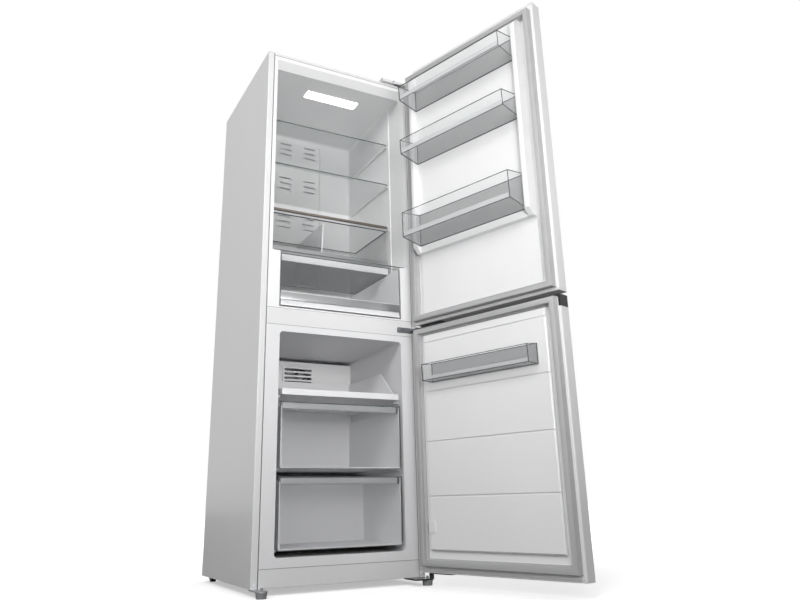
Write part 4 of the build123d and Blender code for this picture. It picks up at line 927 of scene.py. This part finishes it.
@dataclass
class Cabinet:
    """Cabinet shell with its small fittings.

    Attributes:
        plug: Half size of the square plugs at the foot of the front flanges.
        plug_in: Centre of a plug from the side panel's edge and from its foot.
        joint: Width of the dark lines painted as the shade in the gaps where two sheet parts meet.
        cover_side: Closing strip inside the hinge cover's left side.
        cover_run: Its right end from the same side.
        slot: Middle of the hinge cover's screw slot from the same side.
        edge_screw: Rear screws inside the edges of their cover, across and up.
        rear_rows: Screws along each side of the rear panel.
    """

    plug: float = 0.0038
    plug_in: tuple[float, float] = (0.012, 0.013)
    joint: float = 0.0009
    cover_side: float = 0.0018
    cover_run: float = 0.058
    slot: float = 0.052
    edge_screw: tuple[float, float] = (0.014, 0.012)
    rear_rows: int = 6

    def build(self) -> None:
        """Dress the cabinet."""
        self._plugs()
        self._screws()
        self._joints()
        self._hinge_trim()
        for side in ("right", "left"):
            Foot(f"foot_{side}", f"{side}_foot").build()

    def _plugs(self) -> None:
        """Square plugs in the front flanges."""
        low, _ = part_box("side_panel_left")
        x, y, z, half = low.x + self.plug_in[0], low.y, low.z + self.plug_in[1], self.plug
        sculpt = Sculpt()
        for centre in (x, -x):
            near, far = (centre - half, y - 0.0012, z - half), (centre + half, y + 0.0004, z + half)
            sculpt.slab(near, far, 0.0005)
        sculpt.piece("flange_plugs", "cabinet", TRAY_WHITE)

    def _joints(self) -> None:
        """Dark strips over the seams of the front, painted as the shade inside their gaps."""
        side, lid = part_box("side_panel_left"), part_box("top_cover")
        cover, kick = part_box("mullion_cover"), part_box("kickplate")
        wide, y, w = side[1].x, side[0].y, self.joint
        rows = [
            (wide, -wide, lid[0].z - 1.5 * w, lid[0].z),
            (wide, wide + 0.6 * w, side[0].z, lid[0].z),
            (-wide - 0.6 * w, -wide, side[0].z, lid[0].z),
            (wide, -wide, cover[1].z, cover[1].z + w),
            (wide, -wide, cover[0].z - w, cover[0].z),
            (wide, -wide, kick[1].z, kick[1].z + 1.3 * w),
        ]
        sculpt = Sculpt()
        for left, right, low, high in rows:
            sculpt.slab((left, y - 0.0003, low), (right, y + 0.0008, high))
        sculpt.piece("front_joint_shadows", "cabinet", GAP_SHADE)

    def _hinge_trim(self) -> None:
        """Closing strip of the top hinge's cover, and a dark bead painted as the shade inside its screw
        slot.
        """
        low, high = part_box("top_hinge_cover")
        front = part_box("side_panel_left")[0].y
        near = (low.x + self.cover_side, low.y + 0.0012, low.z + 0.0003)
        far = (low.x + self.cover_run, front + 0.0005, low.z + 0.0016)
        strip = Sculpt()
        strip.slab(near, far)
        strip.piece("hinge_cover_strip", "cabinet", CAP)
        slot = Sculpt()
        middle = Vector((low.x + self.slot, low.y, (low.z + high.z) / 2))
        lean = Vector((0.0042, 0.0, 0.0048))
        slot.tube([middle - lean, middle, middle + lean], 0.0015)
        slot.piece("hinge_cover_slot", "cabinet", GAP_SHADE)

    def _screws(self) -> None:
        """Screws of the middle hinge and of the rear covers."""
        low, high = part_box("middle_hinge")
        z = (low.z + high.z) / 2
        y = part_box("side_panel_left")[0].y - 0.003
        pair = [(low.x + 0.009, y, z), (low.x + 0.033, y, z)]
        Screws("middle_hinge_screws", "cabinet", Facing.FRONT, pair, 0.0042).build()
        across, up = self.edge_screw
        low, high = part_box("machine_cover")
        rows = [low.z + up, (low.z + high.z) / 2, high.z - up]
        centres = [(x, high.y, z) for z in rows for x in (low.x + across, high.x - across)]
        centres += [(x, high.y, high.z - up) for x in (-0.1, 0.1)]
        low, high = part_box("rear_panel")
        y, first = high.y - 0.001, low.z + 0.02
        step = (high.z - low.z - 0.04) / (self.rear_rows - 1)
        sides = (low.x + 0.012, high.x - 0.012)
        centres += [(x, y, first + step * i) for i in range(self.rear_rows) for x in sides]
        Screws("rear_screws", "cabinet", Facing.BACK, centres).build()


@dataclass
class Drawers:
    """Drawer, box and shelf trims inside the cabinet.

    Attributes:
        grip: Height of the silvered grip bar.
        grip_in: Bar inside the ends of the drawer's front.
        grip_end: Length of its dark end.
        rim: Pale rim inside the edges of the drawer's front, a painted highlight.
        pad: Length, width and height of a shelf's pad.
        pad_back: Pad behind the shelf's front.
        foot: Height of the crisper's white foot.
        band: Height of the lower box's satin band.
        band_foot: Its lower edge above the foot of the box.
    """

    grip: float = 0.021
    grip_in: float = 0.0075
    grip_end: float = 0.010
    rim: float = 0.0022
    pad: tuple[float, float, float] = (0.030, 0.009, 0.006)
    pad_back: float = 0.045
    foot: float = 0.024
    band: float = 0.0262
    band_foot: float = 0.022

    def build(self) -> None:
        """Make the grip bars, rims, bands, beads, pads and edge lines."""
        for prefix in ("upper", "lower"):
            self._grip_bar(prefix)
            self._front_rim(prefix)
            EdgeLines(f"{prefix}_drawer_front", f"{prefix}_drawer", RIM).build()
        self._handle_band()
        self._crisper_foot()
        self._divider_edge()
        EdgeLines("crisper_bin", "crisper", RIM).build()
        EdgeLines("chill_front", "lower_box", RIM, radius=0.0006).build()
        for node in ("shelf_upper", "shelf_middle", "chill_lid"):
            EdgeLines(node, "cabinet", GLASS_RIM, "shelf_glass", rear=False).build()
        self._pads()

    def _pads(self) -> None:
        """White pads that hold the shelves' side edges."""
        long, wide, tall = self.pad
        sculpt = Sculpt()
        for node in ("shelf_upper", "shelf_middle"):
            low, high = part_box(node)
            y, z = low.y + self.pad_back, low.z
            for x in (low.x, high.x - wide):
                sculpt.slab((x, y, z - tall), (x + wide, y + long, z - CLEARANCE), 0.0018)
        sculpt.piece("shelf_pads", "cabinet", LINER)

    def _grip_bar(self, prefix: str) -> None:
        """Silvered bar behind the top edge of a drawer's front, with its dark end.

        Args:
            prefix: Which drawer.
        """
        low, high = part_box(f"{prefix}_drawer_front")
        left, right, top = low.x + self.grip_in, high.x - self.grip_in, high.z - 0.0034
        near, far, foot = low.y + 0.0036, high.y - 0.0008, top - self.grip
        sculpt = Sculpt()
        sculpt.slab((left, near, foot), (right, far, top), 0.003)
        sculpt.piece(f"{prefix}_drawer_grip", f"{prefix}_drawer", GRIP)
        end = Sculpt()
        end.slab(
            (right - self.grip_end, near - CLEARANCE, foot - CLEARANCE),
            (right + 0.0006, far + CLEARANCE, top + CLEARANCE),
            0.003,
        )
        end.piece(f"{prefix}_drawer_grip_end", f"{prefix}_drawer", RIM)

    def _front_rim(self, prefix: str) -> None:
        """Pale strip in the frosted finish along the foot and the left edge of a drawer's clear front,
        painted as the highlight that these edges show.

        Args:
            prefix: Which drawer.
        """
        low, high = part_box(f"{prefix}_drawer_front")
        near, far = low.y + 0.0005, low.y + self.rim
        left, foot = low.x + self.rim, low.z + self.rim
        rings = []
        for z, wide in ((foot, 0.0072), (high.z - self.grip, 0.0035)):
            right = left + wide
            rings.append([(left, near, z), (right, near, z), (right, far, z), (left, far, z)])
        sculpt = Sculpt()
        sculpt.loop_skin(rings, close=False, caps=True)
        sculpt.slab((low.x + 0.0098, near, foot), (high.x - self.rim, far, foot + 0.004))
        sculpt.piece(f"{prefix}_drawer_rim", f"{prefix}_drawer", FROST)

    def _divider_edge(self) -> None:
        """White bead along the raked front edge of the crisper's divider."""
        radius, inset = 0.0025, 0.0022
        points = [v.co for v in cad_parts["crisper_divider"].data.vertices]
        low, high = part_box("crisper_divider")
        x = (low.x + high.x) / 2
        foot = min((p for p in points if p.z < low.z + 0.001), key=lambda p: p.y)
        head = min((p for p in points if p.z > high.z - 0.001), key=lambda p: p.y)
        sculpt = Sculpt()
        ends = [Vector((x, p.y + inset, p.z + lift)) for p, lift in ((foot, 0.002), (head, -0.002))]
        sculpt.tube([ends[0], ends[0].lerp(ends[1], 0.5), ends[1]], radius)
        sculpt.piece("divider_edge", "crisper", LINER)

    def _crisper_foot(self) -> None:
        """White foot of the crisper's front below its satin band."""
        low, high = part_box("crisper_band")
        sculpt = Sculpt()
        sculpt.slab((low.x, low.y - 0.0006, low.z), (high.x, low.y + 0.0012, low.z + self.foot), 0.0005)
        sculpt.piece("crisper_foot", "crisper", LINER)

    def _handle_band(self) -> None:
        """Satin band across the lower box's clear front, with a white line above and below it."""
        low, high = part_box("chill_front")
        foot = low.z + self.band_foot
        top = foot + self.band
        near = (low.x - CLEARANCE, low.y - 0.0004, foot - CLEARANCE)
        sculpt = Sculpt()
        sculpt.slab(near, (high.x + CLEARANCE, low.y + 0.0016, top), 0.0006)
        sculpt.piece("lower_box_handle", "lower_box", SATIN)
        lines = Sculpt()
        for z, tall in ((top, 0.0018), (low.z + 0.0016, 0.0045)):
            near, far = (low.x + 0.001, low.y + 0.0002, z), (high.x - 0.001, low.y + 0.0014, z + tall)
            lines.slab(near, far, 0.0004)
        lines.piece("lower_box_lines", "lower_box", LINER)


# ---- studio -----------------------------------------------------------------------------
@dataclass
class Studio:
    """Floor, backdrop, lamps and camera.

    Attributes:
        ambient: World strength at the left.
        shade: Share of it at the right.
        key: Power of the main soft light in front, in watts.
        low: Power of the low light in front.
        fill: Power of the low light that looks up into the upper room.
        back: Power of the soft light behind, on the outer faces of the doors.
    """

    ambient: float = 0.55
    shade: float = 0.45
    key: float = 81.0
    low: float = 22.0
    fill: float = 6.6
    back: float = 60.0

    def build(self) -> None:
        """Make the studio."""
        scene = bpy.context.scene
        scene.view_settings.view_transform = "Standard"
        self._world(scene)
        self._floor()
        self._lamp("key", (-2.7, -3.3, 3.3), (0.0, 0.0, 1.0), 1.6, self.key)
        self._lamp("low", (-1.1, -3.5, 0.95), (0.1, 0.0, 0.4), 0.7, self.low)
        self._lamp("fill", (-0.35, -2.5, 0.8), (0.05, 0.0, 1.78), 0.8, self.fill, 80.0)
        self._lamp("back", (2.9, 3.4, 2.6), (0.1, 0.0, 0.9), 2.4, self.back)
        self._camera(scene)

    def _world(self, scene: bpy.types.Scene) -> None:
        """White to the camera, to gloss and through glass; softer on the object.

        Args:
            scene: The scene.
        """
        world = bpy.data.worlds.new("studio")
        scene.world = world
        world.use_nodes = True
        nodes, links = world.node_tree.nodes, world.node_tree.links
        soft = nodes["Background"]
        tune(soft, {"Color": WHITE})
        across = nodes.new("ShaderNodeSeparateXYZ")
        links.new(nodes.new("ShaderNodeTexCoord").outputs["Generated"], across.inputs["Vector"])
        level = nodes.new("ShaderNodeMapRange")
        tune(level, dict(zip(RANGE_ENDS, (-1.0, 1.0, self.ambient, self.ambient * self.shade))))
        links.new(across.outputs["X"], level.inputs["Value"])
        links.new(level.outputs["Result"], soft.inputs["Strength"])
        white = nodes.new("ShaderNodeBackground")
        tune(white, {"Color": WHITE, "Strength": 1.0})
        ray = nodes.new("ShaderNodeLightPath")
        first = nodes.new("ShaderNodeMath")
        first.operation = "MAXIMUM"
        second = nodes.new("ShaderNodeMath")
        second.operation = "MAXIMUM"
        links.new(ray.outputs["Is Camera Ray"], first.inputs[0])
        links.new(ray.outputs["Is Glossy Ray"], first.inputs[1])
        links.new(first.outputs[0], second.inputs[0])
        links.new(ray.outputs["Is Transmission Ray"], second.inputs[1])
        mix = nodes.new("ShaderNodeMixShader")
        links.new(second.outputs[0], mix.inputs["Fac"])
        links.new(soft.outputs[0], mix.inputs[1])
        links.new(white.outputs[0], mix.inputs[2])
        links.new(mix.outputs[0], nodes["World Output"].inputs["Surface"])

    def _floor(self) -> None:
        """Floor that looks pale and keeps the object's shadow, but throws little light back."""
        sculpt = bmesh.new()
        bmesh.ops.create_grid(sculpt, x_segments=1, y_segments=1, size=30.0)
        data = bpy.data.meshes.new("floor")
        sculpt.to_mesh(data)
        sculpt.free()
        floor = bpy.data.objects.new("floor", data)
        bpy.context.scene.collection.objects.link(floor)
        made = bpy.data.materials.new("floor")
        made.use_nodes = True
        nodes, links = made.node_tree.nodes, made.node_tree.links
        shader = nodes["Principled BSDF"]
        tune(shader, {"Base Color": (0.18, 0.18, 0.18, 1.0), "Roughness": 0.8})
        light = nodes.new("ShaderNodeEmission")
        ray = nodes.new("ShaderNodeLightPath")
        away = nodes.new("ShaderNodeVectorMath")
        away.operation = "LENGTH"
        links.new(nodes.new("ShaderNodeTexCoord").outputs["Object"], away.inputs[0])
        fade = nodes.new("ShaderNodeMapRange")
        tune(fade, dict(zip(RANGE_ENDS, (0.9, 2.6, 0.45, 1.0))))
        links.new(away.outputs["Value"], fade.inputs["Value"])
        links.new(fade.outputs["Result"], light.inputs["Strength"])
        pale = nodes.new("ShaderNodeBsdfDiffuse")
        tune(pale, {"Color": (0.85, 0.85, 0.85, 1.0)})
        seen = nodes.new("ShaderNodeAddShader")
        links.new(pale.outputs[0], seen.inputs[0])
        links.new(light.outputs[0], seen.inputs[1])
        mix = nodes.new("ShaderNodeMixShader")
        links.new(ray.outputs["Is Camera Ray"], mix.inputs["Fac"])
        links.new(shader.outputs[0], mix.inputs[1])
        links.new(seen.outputs[0], mix.inputs[2])
        links.new(mix.outputs[0], nodes["Material Output"].inputs["Surface"])
        data.materials.append(made)

    def _lamp(
        self, name: str, place: Point, aim: Point, size: float, power: float, spread: float = 180.0
    ) -> None:
        """One square soft light.

        Args:
            name: Name of the lamp.
            place: Where it stands.
            aim: Point that it looks at.
            size: Side of the square, in metres.
            power: Power in watts.
            spread: Angle of the beam, in degrees.
        """
        data = bpy.data.lights.new(name, "AREA")
        data.shape = "SQUARE"
        data.size = size
        data.energy = power
        data.spread = math.radians(spread)
        lamp = bpy.data.objects.new(name, data)
        lamp.location = place
        lamp.visible_camera = False
        lamp.rotation_mode = "QUATERNION"
        lamp.rotation_quaternion = (Vector(aim) - Vector(place)).to_track_quat("-Z", "Y")
        bpy.context.scene.collection.objects.link(lamp)

    def _camera(self, scene: bpy.types.Scene) -> None:
        """Camera low at the left of the open refrigerator, looking up.

        Args:
            scene: The scene.
        """
        yaw, pitch, roll = (math.radians(a) for a in (-28.15, 17.61, -1.24))
        ahead = Vector((-math.sin(yaw) * math.cos(pitch), math.cos(yaw) * math.cos(pitch), math.sin(pitch)))
        level = Vector((math.cos(yaw), math.sin(yaw), 0.0))
        above = level.cross(ahead)
        right = level * math.cos(roll) + above * math.sin(roll)
        up = above * math.cos(roll) - level * math.sin(roll)
        data = bpy.data.cameras.new("camera")
        data.lens = 32.04
        data.shift_x = 0.0128
        data.shift_y = -0.0285
        camera = bpy.data.objects.new("camera", data)
        turn = Matrix((right, up, -ahead)).transposed().to_4x4()
        camera.matrix_world = Matrix.Translation((-0.98486, -2.48139, 0.25448)) @ turn
        scene.collection.objects.link(camera)
        scene.camera = camera


# ---- order of work ----------------------------------------------------------------------
def corners(box: tuple[Vector, Vector]) -> list[list[float]]:
    """A box as plain lists.

    Args:
        box: Both corners.

    Returns:
        Both corners as lists of numbers.
    """
    return [list(map(float, corner)) for corner in box]


def main() -> None:
    """Dress the refrigerator."""
    logging.basicConfig(level=logging.INFO, format="%(name)s: %(message)s")
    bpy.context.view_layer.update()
    Studio().build()
    for finish, nodes in FINISH_NODES.items():
        for node in nodes:
            dress(node, finish)
    Cabinet().build()
    Doors().build()
    Drawers().build()


if __name__ == "__main__":
    main()
